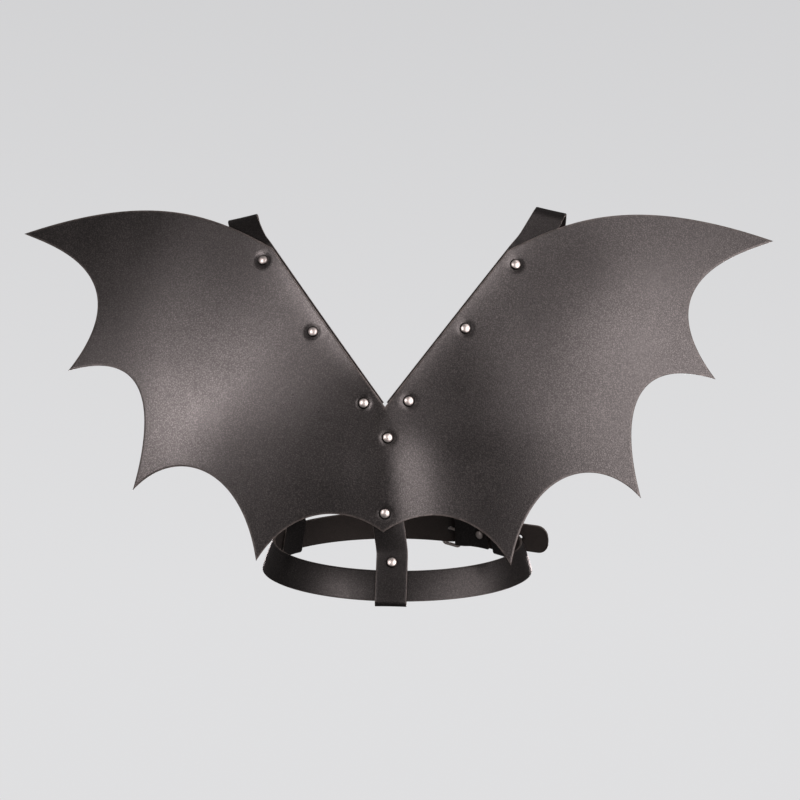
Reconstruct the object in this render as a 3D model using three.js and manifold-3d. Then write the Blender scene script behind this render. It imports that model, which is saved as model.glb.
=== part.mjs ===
// Bat wing harness: a leather wing panel riveted to two shoulder straps and a centre strap, on a buckled belt.
// Millimetres, +Z up. The wearer faces +Y, so the wings lie on the -Y side and +X is the wearer's right.
// The origin is on the panel's centre line, level with the mean underside of the straps over the shoulders.
import * as THREE from 'three';
import { mergeVertices } from 'three/addons/utils/BufferGeometryUtils.js';
import Module from 'manifold-3d';

const wasm = await Module();
wasm.setup();

// Leather
const PANEL_THICK = 2.5;
const STRAP_THICK = 2.5;
const STRAP_WIDTH = 30;
const LAYER_GAP = 0.35; // air between two layers that lie on each other

// Outline of one wing in x and z, from the V notch round to the spine; the other wing mirrors it
const V_BOTTOM = { x: 0, z: -189.5 };
const V_CORNER = { x: 114.5, z: -36.5 };
const WING_EDGES = [
  { edge: 'top', c1x: 169, c1z: -7.5, c2x: 234.5, c2z: 26.5, x: 379.5, z: -18.5 },
  { edge: 'scallop 1', c1x: 350, c1z: -30.5, c2x: 242, c2z: -60.5, x: 318, z: -158.5 },
  { edge: 'scallop 2', c1x: 230, c1z: -133.5, c2x: 225, c2z: -202.5, x: 245.5, z: -274 },
  { edge: 'scallop 3', c1x: 203.5, c1z: -228.5, c2x: 137, c2z: -245.5, x: 122, z: -339 },
  { edge: 'scallop 4', c1x: 89.5, c1z: -285, c2x: 36, c2z: -282.5, x: 0, z: -309 },
];
const EDGE_STEPS = 11;

// Form of the panel: it leans forward towards the shoulders, its tips sweep forward, most of all at the top,
// a soft fold runs down the spine with its deeper side on the right, and the V edges stand out a little
const BACK_Y = -89; // inner face at the small of the back, before the rolls
const LEAN = { fromZ: -203.5, span: 180, soft: 0.3, depth: 34, power: 1.5 };
const SWEEP = { fromX: 150, soft: 85, slope: 0.37, lowShare: 0.45, lowZ: -345, highZ: -20, power: 0.8 };
const SPINE_FOLD = { right: 6, left: 1, half: 34, reach: 130, fromZ: -195, fade: 50 };
const V_FLARE = { height: 2.2, spread: 24, soft: 4 };
const SOFT_ROLLS = [ // swells and hollows of the leather: middle, heading in degrees, half sizes, height outwards
  { x: -150, z: 5, heading: 78, halfLength: 147, halfWidth: 54, height: -5 },
  { x: -206, z: -230, heading: 54, halfLength: 84, halfWidth: 77, height: 5 },
  { x: 208, z: -98, heading: -15, halfLength: 60, halfWidth: 100, height: 5 },
  { x: 11, z: -282, heading: 111, halfLength: 71, halfWidth: 40, height: 5 },
  { x: 93, z: -144, heading: 106, halfLength: 78, halfWidth: 47, height: 2 },
  { x: -43, z: -180, heading: 70, halfLength: 160, halfWidth: 73, height: 5 },
];
const PANEL_GRID = { halfX: 400, lowZ: -350, highZ: 20, columns: 42, rows: 21, centreShare: 0.55 };

// Straps on the panel, measured along the V edge from its bottom and across it
const STRAP_PROUD = 1.5; // the strap shows this much past the V edge
const STRAP_END = 4.3;
const STRAP_LEAVES = 197;
const PANEL_STEP = 13;
const CENTRE_STRAP = { topX: -1.5, topZ: -204, leavesZ: -300 }; // it runs from here to the back of the belt

// Shoulder strap over the shoulder and down the front: a point, how its width drops and turns in degrees,
// and the share of the tops' set: both tops sit towards the right, the right one higher and the left one lower
const SHOULDER_ROUTE = [
  { x: 136.5, y: -36.5, z: -30, drop: 34, turn: -4, share: 0.2 },
  { x: 145, y: -25.5, z: -15, drop: 26, turn: -2, share: 0.45 },
  { x: 151.5, y: -13, z: -2.6, drop: 17, turn: 0, share: 0.75 },
  { x: 153.5, y: 1, z: STRAP_THICK / 2, drop: 12, turn: 0, share: 1 },
  { x: 154, y: 16, z: -2.4, drop: 12, turn: -2, share: 1 },
  { x: 152.5, y: 32, z: -17, drop: 11, turn: -6, share: 1 },
  { x: 148.5, y: 45, z: -50, drop: 9, turn: -14, share: 0.8 },
  { x: 142.5, y: 54, z: -105, drop: 7, turn: -24, share: 0.5 },
  { x: 132.5, y: 58, z: -170, drop: 5, turn: -34, share: 0.2 },
  { x: 121, y: 55.5, z: -230, drop: 2, turn: -42, share: 0 },
];
const TOPS_SET = { right: 3.3, higher: 5 };
const ROUTE_STEPS = 3;

// Belt: a tilted ellipse, low at the back, with its lower edge standing out
const BELT = { shiftX: 8.5, centreY: 1, halfX: 128.5, halfY: 94, backZ: -359.7, tilt: 14, lean: 20 };
const BELT_STEP = 5.8; // degrees
const TAIL_LENGTH = 96;
const TAIL_CORNER = 11;
const HOLE_SPACING = 22;
const HOLE_RADIUS = 2.2;
const HOLE_COUNT = 3; // spare holes on the tail

// Strap ends folded round the belt: angle from the spine, rivet height above the middle of the belt
const BELT_LOOPS = {
  centre: { angle: 0, rivetH: 22 },
  right: { angle: THREE.MathUtils.degToRad(124.5), rivetH: 24 },
  left: { angle: THREE.MathUtils.degToRad(240.5), rivetH: 24 },
};
const LOOP_TOP = 31;
const LOOP_GAP = 0.65; // a folded end lies a little slack on the belt
const LOOP_SLACK = 1.2; // and its rivet's back cap seats where the end comes off the belt
const FOLD_STEPS = 5;
// The folded end closes up behind the strap above the belt: layers in, height over the belt's edge, facing
const LOOP_CLOSES = [
  { layers: 1, above: 0, faceOut: -1, faceUp: 0 },
  { layers: 0.72, above: 1.6, faceOut: -0.84, faceUp: 0.54 },
  { layers: 0.28, above: 3.4, faceOut: -0.86, faceUp: 0.51 },
  { layers: 0, above: 5.4, faceOut: -0.98, faceUp: 0.2 },
];

// Buckle: a wire frame with its prong, in front on the wearer's right
const BUCKLE_ANGLE = THREE.MathUtils.degToRad(152); // from the spine
const BUCKLE = { wire: 1.75, reach: 20, halfHeight: 18.2, prong: 1.5, sides: 8 };
const BUCKLE_KNEE = 1.02; // a corner's ball, in radii of the wire
const PRONG_CLEAR = 0.5;
const PRONG_ENDS = { start: 0.5, past: 2.5 }; // from the hinge bar, and past the far bar
const FOLD_RIVET = 26;
// The belt's end folded back from the hinge bar: along the belt, inwards in layers, facing
const FOLD_RUN = [
  { along: -36, layers: 1, faceAlong: 0, faceOut: -1 },
  { along: -22, layers: 1, faceAlong: 0, faceOut: -1 },
  { along: -13, layers: 1.25, faceAlong: 0.25, faceOut: -0.97 },
  { along: -7, layers: 2.05, faceAlong: 0.3, faceOut: -0.95 },
];
const TAIL_RISE = 16; // length over which the belt climbs onto itself
const TAIL_RISE_SHARES = [0.3, 0.6, 0.85];
const TAIL_CORNER_SHARES = [0.4, 0.7, 0.9, 1];

// Rivets: a domed cap, a post and a flat back cap
const RIVET = { cap: 5.6, dome: 2.3, rim: 0.5, post: 1.7, back: 3.2, backThick: 1.1, seat: 0.3, sides: 12 };
const RIVET_DOME = [ // shares of the cap's radius and of the dome's height
  { radius: 1, height: 0 },
  { radius: 0.84, height: 0.5 },
  { radius: 0.45, height: 0.88 },
  { radius: 0, height: 1 },
];
const BEND_SLACK = 0.35; // a back cap seats this much lower where the leather under it bends
const RIVET_HOLE = 2.1;
const CUT_PAST = 3; // a cutter's length beyond the leather
const RIVET_INSET = 14.5; // from the V edge
const V_RIVETS = { // along the V edge
  left: { low: 14.8, mid: 99.7, top: 187.2 },
  right: { low: 18, mid: 106, top: 184.8 },
};
const SPINE_RIVETS = { top: { x: 3, z: -219 }, low: { x: 1.5, z: -291 } };

const LEATHER = new THREE.MeshStandardMaterial({ color: 0x1d1b1a, roughness: 0.5, metalness: 0 });
const STEEL = new THREE.MeshStandardMaterial({ color: 0xb8b5b0, roughness: 0.28, metalness: 1 });

const HALF_WIDTH = STRAP_WIDTH / 2;
const HALF_THICK = STRAP_THICK / 2;
const LAYER = STRAP_THICK + LAYER_GAP; // middle of one layer to the middle of the next
const LOOP_LAYER = STRAP_THICK + LOOP_GAP;
const ACROSS = [-HALF_WIDTH, 0, HALF_WIDTH];
const SLIGHT = 0.5; // step for measuring slopes
const OUTLINE_DEPTH = 400; // the outline cuts right through the bent sheet
const V_RUN = new THREE.Vector2(V_CORNER.x - V_BOTTOM.x, V_CORNER.z - V_BOTTOM.z).normalize();

// Turns a closed geometry into a solid for joining and cutting
function solid(geometry) {
  const plain = geometry.clone();
  plain.deleteAttribute('normal');
  plain.deleteAttribute('uv');
  const merged = mergeVertices(plain, 1e-4);
  return new wasm.Manifold(new wasm.Mesh({
    numProp: 3,
    vertProperties: new Float32Array(merged.attributes.position.array),
    triVerts: new Uint32Array(merged.index.array),
  }));
}

function geometryOf(body) {
  const mesh = body.getMesh();
  const geometry = new THREE.BufferGeometry();
  geometry.setAttribute('position', new THREE.BufferAttribute(new Float32Array(mesh.vertProperties), 3));
  geometry.setIndex(new THREE.BufferAttribute(new Uint32Array(mesh.triVerts), 1));
  geometry.computeVertexNormals();
  return geometry;
}

function piece(name, geometry, material) {
  const mesh = new THREE.Mesh(geometry, material);
  mesh.name = name;
  return mesh;
}

function cutAll(geometry, cutters) {
  return geometryOf(cutters.reduce((body, cutter) => body.subtract(solid(cutter)), solid(geometry)));
}

// A round bar between two points
function bar(from, to, radius, sides) {
  const along = to.clone().sub(from);
  const geometry = new THREE.CylinderGeometry(radius, radius, along.length(), sides);
  return aim(geometry, from.clone().lerp(to, 0.5), along);
}

// Turns a geometry made along +Y to point along an axis, with its middle at a point
function aim(geometry, point, axis) {
  const turn = new THREE.Quaternion().setFromUnitVectors(new THREE.Vector3(0, 1, 0), axis.clone().normalize());
  return geometry.applyQuaternion(turn).translate(point.x, point.y, point.z);
}

// Nothing before its start and the amount itself well past it, with a soft bend between
function easeIn(amount, soft) {
  return (amount + Math.hypot(amount, soft)) / 2;
}

// How far the panel stands out near its V edges
function flareOut(x, z) {
  const fromX = Math.abs(x) - V_BOTTOM.x;
  const fromZ = z - V_BOTTOM.z;
  const beside = Math.max(0, fromX * V_RUN.y - fromZ * V_RUN.x);
  const away = fromX * V_RUN.x + fromZ * V_RUN.y > 0 ? beside : Math.hypot(fromX, fromZ);
  return V_FLARE.height * Math.exp((V_FLARE.soft - Math.hypot(away, V_FLARE.soft)) / V_FLARE.spread);
}

function rollsOut(x, z) {
  return SOFT_ROLLS.reduce((sum, roll) => {
    const turn = THREE.MathUtils.degToRad(-roll.heading);
    const place = new THREE.Vector2(x - roll.x, z - roll.z).rotateAround(new THREE.Vector2(), turn);
    const fall = (place.x / roll.halfLength) ** 2 + (place.y / roll.halfWidth) ** 2;
    return sum + roll.height * Math.exp(-fall);
  }, 0);
}

// Inner face of the panel
function panelInnerY(x, z) {
  const lean = LEAN.depth * easeIn((z - LEAN.fromZ) / LEAN.span, LEAN.soft) ** LEAN.power;
  const bend = SWEEP.slope * easeIn(Math.abs(x) - SWEEP.fromX, SWEEP.soft);
  const height = Math.max(0, (z - SWEEP.lowZ) / (SWEEP.highZ - SWEEP.lowZ));
  const share = SWEEP.lowShare + (1 - SWEEP.lowShare) * height ** SWEEP.power;
  const { half, reach, fromZ, fade } = SPINE_FOLD;
  const fall = x > 0 ? SPINE_FOLD.right : SPINE_FOLD.left;
  const fold = fall * (1 - Math.exp(-((x / half) ** 2))) * Math.exp(-((x / reach) ** 2));
  const folded = fold * THREE.MathUtils.smoothstep(fromZ - z, 0, fade);
  return BACK_Y + lean + bend * share + folded - flareOut(x, z) - rollsOut(x, z);
}

// Direction out of the panel, away from the wearer, before it is made one long
function panelSlope(x, z) {
  const slopeX = (panelInnerY(x + SLIGHT, z) - panelInnerY(x - SLIGHT, z)) / (2 * SLIGHT);
  const slopeZ = (panelInnerY(x, z + SLIGHT) - panelInnerY(x, z - SLIGHT)) / (2 * SLIGHT);
  return new THREE.Vector3(slopeX, -1, slopeZ);
}

function panelOuterY(x, z) {
  return panelInnerY(x, z) - PANEL_THICK * panelSlope(x, z).length();
}

function wingOutline() {
  const shape = new THREE.Shape();
  shape.moveTo(V_BOTTOM.x, V_BOTTOM.z);
  shape.lineTo(V_CORNER.x, V_CORNER.z);
  for (const row of WING_EDGES) {
    shape.bezierCurveTo(row.c1x, row.c1z, row.c2x, row.c2z, row.x, row.z);
  }
  const starts = [V_CORNER, ...WING_EDGES];
  for (let i = WING_EDGES.length - 1; i >= 0; i -= 1) {
    const row = WING_EDGES[i];
    shape.bezierCurveTo(-row.c2x, row.c2z, -row.c1x, row.c1z, -starts[i].x, starts[i].z);
  }
  shape.closePath();
  return shape;
}

// A wide bent sheet with its columns closest together over the spine
function bentSheet() {
  const { halfX, lowZ, highZ, columns, rows, centreShare } = PANEL_GRID;
  const sheet = new THREE.BoxGeometry(2, 2, 1, columns, 1, rows);
  const place = sheet.attributes.position;
  for (let i = 0; i < place.count; i += 1) {
    const u = place.getX(i);
    const x = halfX * u * (centreShare + (1 - centreShare) * u * u);
    const z = lowZ + (highZ - lowZ) * (place.getZ(i) + 0.5);
    const y = place.getY(i) > 0 ? panelInnerY(x, z) : panelOuterY(x, z);
    place.setXYZ(i, x, y, z);
  }
  return sheet;
}

function wingPanel(holes) {
  const settings = { depth: OUTLINE_DEPTH, bevelEnabled: false, curveSegments: EDGE_STEPS };
  const outline = new THREE.ExtrudeGeometry(wingOutline(), settings);
  outline.rotateX(Math.PI / 2).translate(0, OUTLINE_DEPTH / 2, 0);
  return cutAll(geometryOf(solid(bentSheet()).intersect(solid(outline))), holes);
}

// A strap from stations, each a row of outer and a row of inner points; its faces are turned outwards
function strap(stations) {
  const across = stations[0].outer.length;
  const ring = 2 * across;
  const places = [];
  const faces = [];
  for (const { outer, inner } of stations) {
    for (const point of [...outer, ...inner.toReversed()]) places.push(point.x, point.y, point.z);
  }
  for (let row = 0; row < stations.length - 1; row += 1) {
    for (let k = 0; k < ring; k += 1) {
      const a = row * ring + k;
      const b = row * ring + ((k + 1) % ring);
      faces.push(a, b, b + ring, a, b + ring, a + ring);
    }
  }
  const last = (stations.length - 1) * ring;
  for (let k = 0; k < across - 1; k += 1) {
    const mate = ring - 1 - k;
    faces.push(k, mate - 1, k + 1, k, mate, mate - 1);
    faces.push(last + k, last + k + 1, last + mate - 1, last + k, last + mate - 1, last + mate);
  }
  const geometry = new THREE.BufferGeometry();
  geometry.setAttribute('position', new THREE.Float32BufferAttribute(places, 3));
  geometry.setIndex(signedVolume(places, faces) < 0 ? faces.toReversed() : faces);
  return geometry;
}

function signedVolume(places, faces) {
  const at = (i) => new THREE.Vector3().fromArray(places, 3 * i);
  let total = 0;
  for (let i = 0; i < faces.length; i += 3) {
    total += at(faces[i]).dot(at(faces[i + 1]).cross(at(faces[i + 2]))) / 6;
  }
  return total;
}

// A station that lies on the panel's inner face, across a direction in x and z
function panelStation(x, z, acrossX, acrossZ) {
  const outer = [];
  const inner = [];
  for (const u of ACROSS) {
    const px = x + u * acrossX;
    const pz = z + u * acrossZ;
    const inward = panelSlope(px, pz).normalize().negate();
    const face = new THREE.Vector3(px, panelInnerY(px, pz), pz);
    outer.push(face.clone().addScaledVector(inward, LAYER_GAP));
    inner.push(face.clone().addScaledVector(inward, LAYER_GAP + STRAP_THICK));
  }
  return { outer, inner };
}

// A flat station at a point, facing out
function flatStation(point, across, out) {
  const at = (u, n) => point.clone().addScaledVector(across, u).addScaledVector(out, n);
  return { outer: ACROSS.map((u) => at(u, HALF_THICK)), inner: ACROSS.map((u) => at(u, -HALF_THICK)) };
}

function middleOf(station) {
  const middle = (ACROSS.length - 1) / 2;
  return station.outer[middle].clone().lerp(station.inner[middle], 0.5);
}

function acrossOf(station) {
  return station.outer[ACROSS.length - 1].clone().sub(station.outer[0]).normalize();
}

// Stations along a smooth curve that leaves one run of stations, passes points and meets another run
function bridge(before, route, after, facing) {
  const points = [before.at(-2), before.at(-1)].map(middleOf);
  const widths = [before.at(-2), before.at(-1)].map(acrossOf);
  for (const row of route) {
    points.push(row.point);
    widths.push(row.across);
  }
  for (const station of after.slice(0, 2)) {
    points.push(middleOf(station));
    widths.push(acrossOf(station));
  }
  const curve = new THREE.CatmullRomCurve3(points, false, 'centripetal');
  const spans = points.length - 1;
  const stations = [];
  for (let i = ROUTE_STEPS + 1; i < (spans - 1) * ROUTE_STEPS; i += 1) {
    const along = i / ROUTE_STEPS;
    const span = Math.floor(along);
    const heading = curve.getTangent(along / spans);
    const across = widths[span].clone().lerp(widths[span + 1], along - span);
    across.addScaledVector(heading, -across.dot(heading)).normalize();
    const out = across.clone().cross(heading).multiplyScalar(facing);
    stations.push(flatStation(curve.getPoint(along / spans), across, out));
  }
  return stations;
}

// Belt: the middle of the leather at an angle from the spine, with its directions along, out and up
function beltFrame(angle) {
  const rise = Math.tan(THREE.MathUtils.degToRad(BELT.tilt));
  const lean = THREE.MathUtils.degToRad(BELT.lean);
  const y = -BELT.halfY * Math.cos(angle);
  const middle = new THREE.Vector3(BELT.shiftX + BELT.halfX * Math.sin(angle), BELT.centreY + y,
    BELT.backZ + (y + BELT.halfY) * rise);
  const speedY = BELT.halfY * Math.sin(angle);
  const along = new THREE.Vector3(BELT.halfX * Math.cos(angle), speedY, speedY * rise);
  const speed = along.length();
  along.normalize();
  const side = new THREE.Vector3(along.y, -along.x, 0).normalize();
  const up = new THREE.Vector3(0, 0, Math.cos(lean)).addScaledVector(side, -Math.sin(lean));
  up.addScaledVector(along, -up.dot(along)).normalize();
  return { middle, along, up, out: along.clone().cross(up), speed };
}

// A point on the belt's angle, so far out from the middle of the leather and so far up it
function beltPoint(angle, out, up) {
  const frame = beltFrame(angle);
  return frame.middle.addScaledVector(frame.out, out).addScaledVector(frame.up, up);
}

// A strap end folded round the belt: down outside it, round its lower edge and up behind it
function beltLoop({ angle }) {
  const speed = beltFrame(angle).speed;
  const top = HALF_WIDTH + LOOP_GAP;
  const path = [
    { out: LOOP_LAYER, up: LOOP_TOP, faceOut: 1, faceUp: 0 },
    { out: LOOP_LAYER, up: HALF_WIDTH, faceOut: 1, faceUp: 0 },
    { out: LOOP_LAYER, up: 0, faceOut: 1, faceUp: 0 },
  ];
  for (let i = 0; i <= FOLD_STEPS; i += 1) {
    const turn = (Math.PI * i) / FOLD_STEPS;
    const faceOut = Math.cos(turn);
    const faceUp = -Math.sin(turn);
    path.push({ out: LOOP_LAYER * faceOut, up: -top + LOOP_LAYER * faceUp, faceOut, faceUp });
  }
  path.push({ out: -LOOP_LAYER, up: 0, faceOut: -1, faceUp: 0 });
  for (const { layers, above, faceOut, faceUp } of LOOP_CLOSES) {
    path.push({ out: -LOOP_LAYER * layers, up: top + above, faceOut, faceUp });
  }
  path.push({ out: 0, up: LOOP_TOP, faceOut: -1, faceUp: 0 });
  return path.map(({ out, up, faceOut, faceUp }) => {
    const at = (u, n) => beltPoint(angle - u / speed, out + n * faceOut, up + n * faceUp);
    return { outer: ACROSS.map((u) => at(u, HALF_THICK)), inner: ACROSS.map((u) => at(u, -HALF_THICK)) };
  });
}

// Turns the width of a run of stations end for end
function flipAcross(stations) {
  return stations.map(({ outer, inner }) => ({ outer: outer.toReversed(), inner: inner.toReversed() }));
}

// V edge of a wing: a point so far along it from the bottom and so far in from it
function vEdgePoint(side, along, inset) {
  return {
    x: side * (V_BOTTOM.x + along * V_RUN.x + inset * V_RUN.y),
    z: V_BOTTOM.z + along * V_RUN.y - inset * V_RUN.x,
    acrossX: side * V_RUN.y,
    acrossZ: -V_RUN.x,
  };
}

// Side is 1 for the wearer's right and -1 for the left
function shoulderStrap(side, loop) {
  const onPanel = [];
  const steps = Math.ceil((STRAP_LEAVES - STRAP_END) / PANEL_STEP);
  for (let i = 0; i <= steps; i += 1) {
    const along = STRAP_END + ((STRAP_LEAVES - STRAP_END) * i) / steps;
    const spot = vEdgePoint(side, along, HALF_WIDTH - STRAP_PROUD);
    onPanel.push(panelStation(spot.x, spot.z, spot.acrossX, spot.acrossZ));
  }
  const route = SHOULDER_ROUTE.map((row) => {
    const drop = THREE.MathUtils.degToRad(row.drop);
    const turn = THREE.MathUtils.degToRad(row.turn);
    const flat = Math.cos(drop);
    return {
      point: new THREE.Vector3(side * row.x + TOPS_SET.right * row.share, row.y,
        row.z + side * TOPS_SET.higher * row.share),
      across: new THREE.Vector3(side * flat * Math.cos(turn), flat * Math.sin(turn), -Math.sin(drop)),
    };
  });
  const loopRun = side > 0 ? beltLoop(loop) : flipAcross(beltLoop(loop));
  return strap([...onPanel, ...bridge(onPanel, route, loopRun, side), ...loopRun]);
}

function centreStrap(loop) {
  const onPanel = [];
  const { topX, topZ, leavesZ } = CENTRE_STRAP;
  const slant = (BELT.shiftX - topX) / (topZ - BELT.backZ);
  const length = Math.hypot(1, slant);
  const steps = Math.ceil((topZ - leavesZ) / PANEL_STEP);
  for (let i = 0; i <= steps; i += 1) {
    const down = ((topZ - leavesZ) * i) / steps;
    onPanel.push(panelStation(topX + slant * down, topZ - down, -1 / length, -slant / length));
  }
  const loopRun = beltLoop(loop);
  return strap([...onPanel, ...bridge(onPanel, [], loopRun, 1), ...loopRun]);
}

// A place near the buckle: so far along the belt from the hinge bar, out from the leather and up
function bucklePoint(along, out, up) {
  return beltPoint(BUCKLE_ANGLE + along / beltFrame(BUCKLE_ANGLE).speed, out, up);
}

// The belt's folded end as rows of along, out and facing, up to where it leaves the hinge bar
function foldRows() {
  const bend = BUCKLE.wire + LAYER_GAP + HALF_THICK;
  const rows = FOLD_RUN.map(({ layers, ...row }) => ({ ...row, out: -LAYER * layers }));
  for (let i = 0; i <= FOLD_STEPS; i += 1) {
    const turn = (Math.PI * i) / FOLD_STEPS;
    const faceAlong = Math.sin(turn);
    const faceOut = -Math.cos(turn);
    rows.push({ along: bend * faceAlong, out: bend * (faceOut - 1), faceAlong, faceOut });
  }
  return rows;
}

function beltStation(angle, out, faceAlong, faceOut) {
  const speed = beltFrame(BUCKLE_ANGLE).speed;
  const at = (h, n) => beltPoint(angle + (n * faceAlong) / speed, out + n * faceOut, h);
  const edges = [-HALF_WIDTH, HALF_WIDTH];
  return { outer: edges.map((h) => at(h, HALF_THICK)), inner: edges.map((h) => at(h, -HALF_THICK)) };
}

// The tail leaves the buckle straight, and its end is rounded at the corners
function tailStations() {
  const frame = beltFrame(BUCKLE_ANGLE);
  const lengths = [0, TAIL_LENGTH / 3, (2 * TAIL_LENGTH) / 3, TAIL_LENGTH - TAIL_CORNER];
  for (const share of TAIL_CORNER_SHARES) lengths.push(TAIL_LENGTH - TAIL_CORNER * (1 - share));
  return lengths.map((length) => {
    const past = Math.max(0, length - (TAIL_LENGTH - TAIL_CORNER));
    const half = HALF_WIDTH - TAIL_CORNER + Math.sqrt(TAIL_CORNER ** 2 - past ** 2);
    const at = (h, n) => frame.middle.clone().addScaledVector(frame.along, -length)
      .addScaledVector(frame.out, LAYER + n).addScaledVector(frame.up, h);
    const edges = [-half, half];
    return { outer: edges.map((h) => at(h, HALF_THICK)), inner: edges.map((h) => at(h, -HALF_THICK)) };
  });
}

function belt(holes) {
  const speed = beltFrame(BUCKLE_ANGLE).speed;
  const stations = foldRows().map((row) => (
    beltStation(BUCKLE_ANGLE + row.along / speed, row.out, row.faceAlong, row.faceOut)));
  const round = 360 - THREE.MathUtils.radToDeg(TAIL_RISE / speed);
  const steps = Math.ceil(round / BELT_STEP);
  for (let i = 1; i <= steps; i += 1) {
    const turn = THREE.MathUtils.degToRad((round * i) / steps);
    stations.push(beltStation(BUCKLE_ANGLE - turn, 0, 0, 1));
  }
  for (const share of TAIL_RISE_SHARES) {
    const out = LAYER * THREE.MathUtils.smoothstep(share, 0, 1);
    stations.push(beltStation(BUCKLE_ANGLE + (TAIL_RISE * (1 - share)) / speed, out, 0, 1));
  }
  const slot = prongPath(BUCKLE.prong + PRONG_CLEAR);
  return cutAll(strap([...stations, ...tailStations()]), [slot, ...tailHoles(), ...holes]);
}

function tailHoles() {
  const frame = beltFrame(BUCKLE_ANGLE);
  const holes = [];
  for (let i = 1; i <= HOLE_COUNT; i += 1) {
    const place = frame.middle.clone().addScaledVector(frame.along, -i * HOLE_SPACING)
      .addScaledVector(frame.out, LAYER);
    const hole = new THREE.CylinderGeometry(HOLE_RADIUS, HOLE_RADIUS, STRAP_THICK + LAYER_GAP, RIVET.sides);
    holes.push(aim(hole, place, frame.out));
  }
  return holes;
}

// The prong lies from the hinge bar through the belt onto the far bar
function prongPath(radius) {
  const seat = HALF_THICK + LAYER_GAP + BUCKLE.wire;
  const start = bucklePoint(PRONG_ENDS.start, -seat, 0);
  const end = bucklePoint(BUCKLE.reach + PRONG_ENDS.past, seat + BUCKLE.wire, 0);
  return bar(start, end, radius, BUCKLE.sides);
}

function buckle() {
  const seat = HALF_THICK + LAYER_GAP + BUCKLE.wire;
  const corners = [
    bucklePoint(0, -seat, -BUCKLE.halfHeight),
    bucklePoint(0, -seat, BUCKLE.halfHeight),
    bucklePoint(BUCKLE.reach, seat, BUCKLE.halfHeight),
    bucklePoint(BUCKLE.reach, seat, -BUCKLE.halfHeight),
  ];
  let frame = solid(prongPath(BUCKLE.prong));
  corners.forEach((corner, i) => {
    const knee = new THREE.SphereGeometry(BUCKLE.wire * BUCKLE_KNEE, BUCKLE.sides, BUCKLE.sides - 2);
    frame = frame.add(solid(bar(corner, corners[(i + 1) % corners.length], BUCKLE.wire, BUCKLE.sides)));
    frame = frame.add(solid(knee.translate(corner.x, corner.y, corner.z)));
  });
  return geometryOf(frame);
}

// Rivets: where the cap sits, which way it faces and how deep the leather under it is
function rivetSpots() {
  const twoLayers = PANEL_THICK + LAYER_GAP + STRAP_THICK + BEND_SLACK;
  const onPanel = (name, holds, x, z) => ({
    name,
    holds,
    throughPanel: true,
    depth: twoLayers,
    point: new THREE.Vector3(x, panelOuterY(x, z), z),
    axis: panelSlope(x, z),
  });
  const spots = [];
  for (const [word, side] of [['left', -1], ['right', 1]]) {
    for (const [level, along] of Object.entries(V_RIVETS[word])) {
      const spot = vEdgePoint(side, along, RIVET_INSET);
      spots.push(onPanel(`rivet_${word}_${level}`, `shoulder_strap_${word}`, spot.x, spot.z));
    }
  }
  for (const [level, { x, z }] of Object.entries(SPINE_RIVETS)) {
    spots.push(onPanel(`rivet_spine_${level}`, 'centre_strap', x, z));
  }
  for (const [word, loop] of Object.entries(BELT_LOOPS)) {
    const holds = word === 'centre' ? 'centre_strap' : `shoulder_strap_${word}`;
    spots.push({
      name: `rivet_loop_${word}`,
      holds,
      depth: LOOP_LAYER + STRAP_THICK + LOOP_SLACK,
      point: beltPoint(loop.angle, LOOP_LAYER + HALF_THICK, loop.rivetH),
      axis: beltFrame(loop.angle).out,
    });
  }
  const foldAngle = BUCKLE_ANGLE - FOLD_RIVET / beltFrame(BUCKLE_ANGLE).speed;
  spots.push({
    name: 'rivet_belt_fold',
    holds: 'belt',
    depth: LAYER + STRAP_THICK,
    point: beltPoint(foldAngle, -LAYER - HALF_THICK, 0),
    axis: beltFrame(foldAngle).out.negate(),
  });
  return spots.map((spot) => ({ ...spot, axis: spot.axis.clone().normalize() }));
}

function rivet({ depth, point, axis }) {
  const backTop = -depth - RIVET.seat;
  const backLow = backTop - RIVET.backThick;
  const rim = RIVET.seat + RIVET.rim;
  const profile = [
    [0, backLow], [RIVET.back, backLow], [RIVET.back, backTop],
    [RIVET.post, backTop], [RIVET.post, RIVET.seat], [RIVET.cap, RIVET.seat],
  ];
  for (const row of RIVET_DOME) profile.push([RIVET.cap * row.radius, rim + RIVET.dome * row.height]);
  const points = profile.map(([radius, height]) => new THREE.Vector2(radius, height));
  return aim(new THREE.LatheGeometry(points, RIVET.sides), point, axis);
}

function rivetHole({ depth, point, axis }) {
  const hole = new THREE.CylinderGeometry(RIVET_HOLE, RIVET_HOLE, depth + CUT_PAST, RIVET.sides);
  return aim(hole, point.clone().addScaledVector(axis, -depth / 2), axis);
}

const spots = rivetSpots();
const holesIn = (name) => spots.filter((spot) => spot.holds === name).map(rivetHole);
const panelHoles = spots.filter((spot) => spot.throughPanel).map(rivetHole);

const group = new THREE.Group();
group.add(piece('wing_panel', wingPanel(panelHoles), LEATHER));
for (const [word, side] of [['left', -1], ['right', 1]]) {
  const name = `shoulder_strap_${word}`;
  group.add(piece(name, cutAll(shoulderStrap(side, BELT_LOOPS[word]), holesIn(name)), LEATHER));
}
group.add(piece('centre_strap', cutAll(centreStrap(BELT_LOOPS.centre), holesIn('centre_strap')), LEATHER));
group.add(piece('belt', belt(holesIn('belt')), LEATHER));
group.add(piece('belt_buckle', buckle(), STEEL));
for (const spot of spots) group.add(piece(spot.name, rivet(spot), STEEL));

export default group;
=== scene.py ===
import math

import bmesh
import bpy
import numpy as np
from mathutils import Matrix, Vector
from mathutils.geometry import delaunay_2d_cdt


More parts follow.
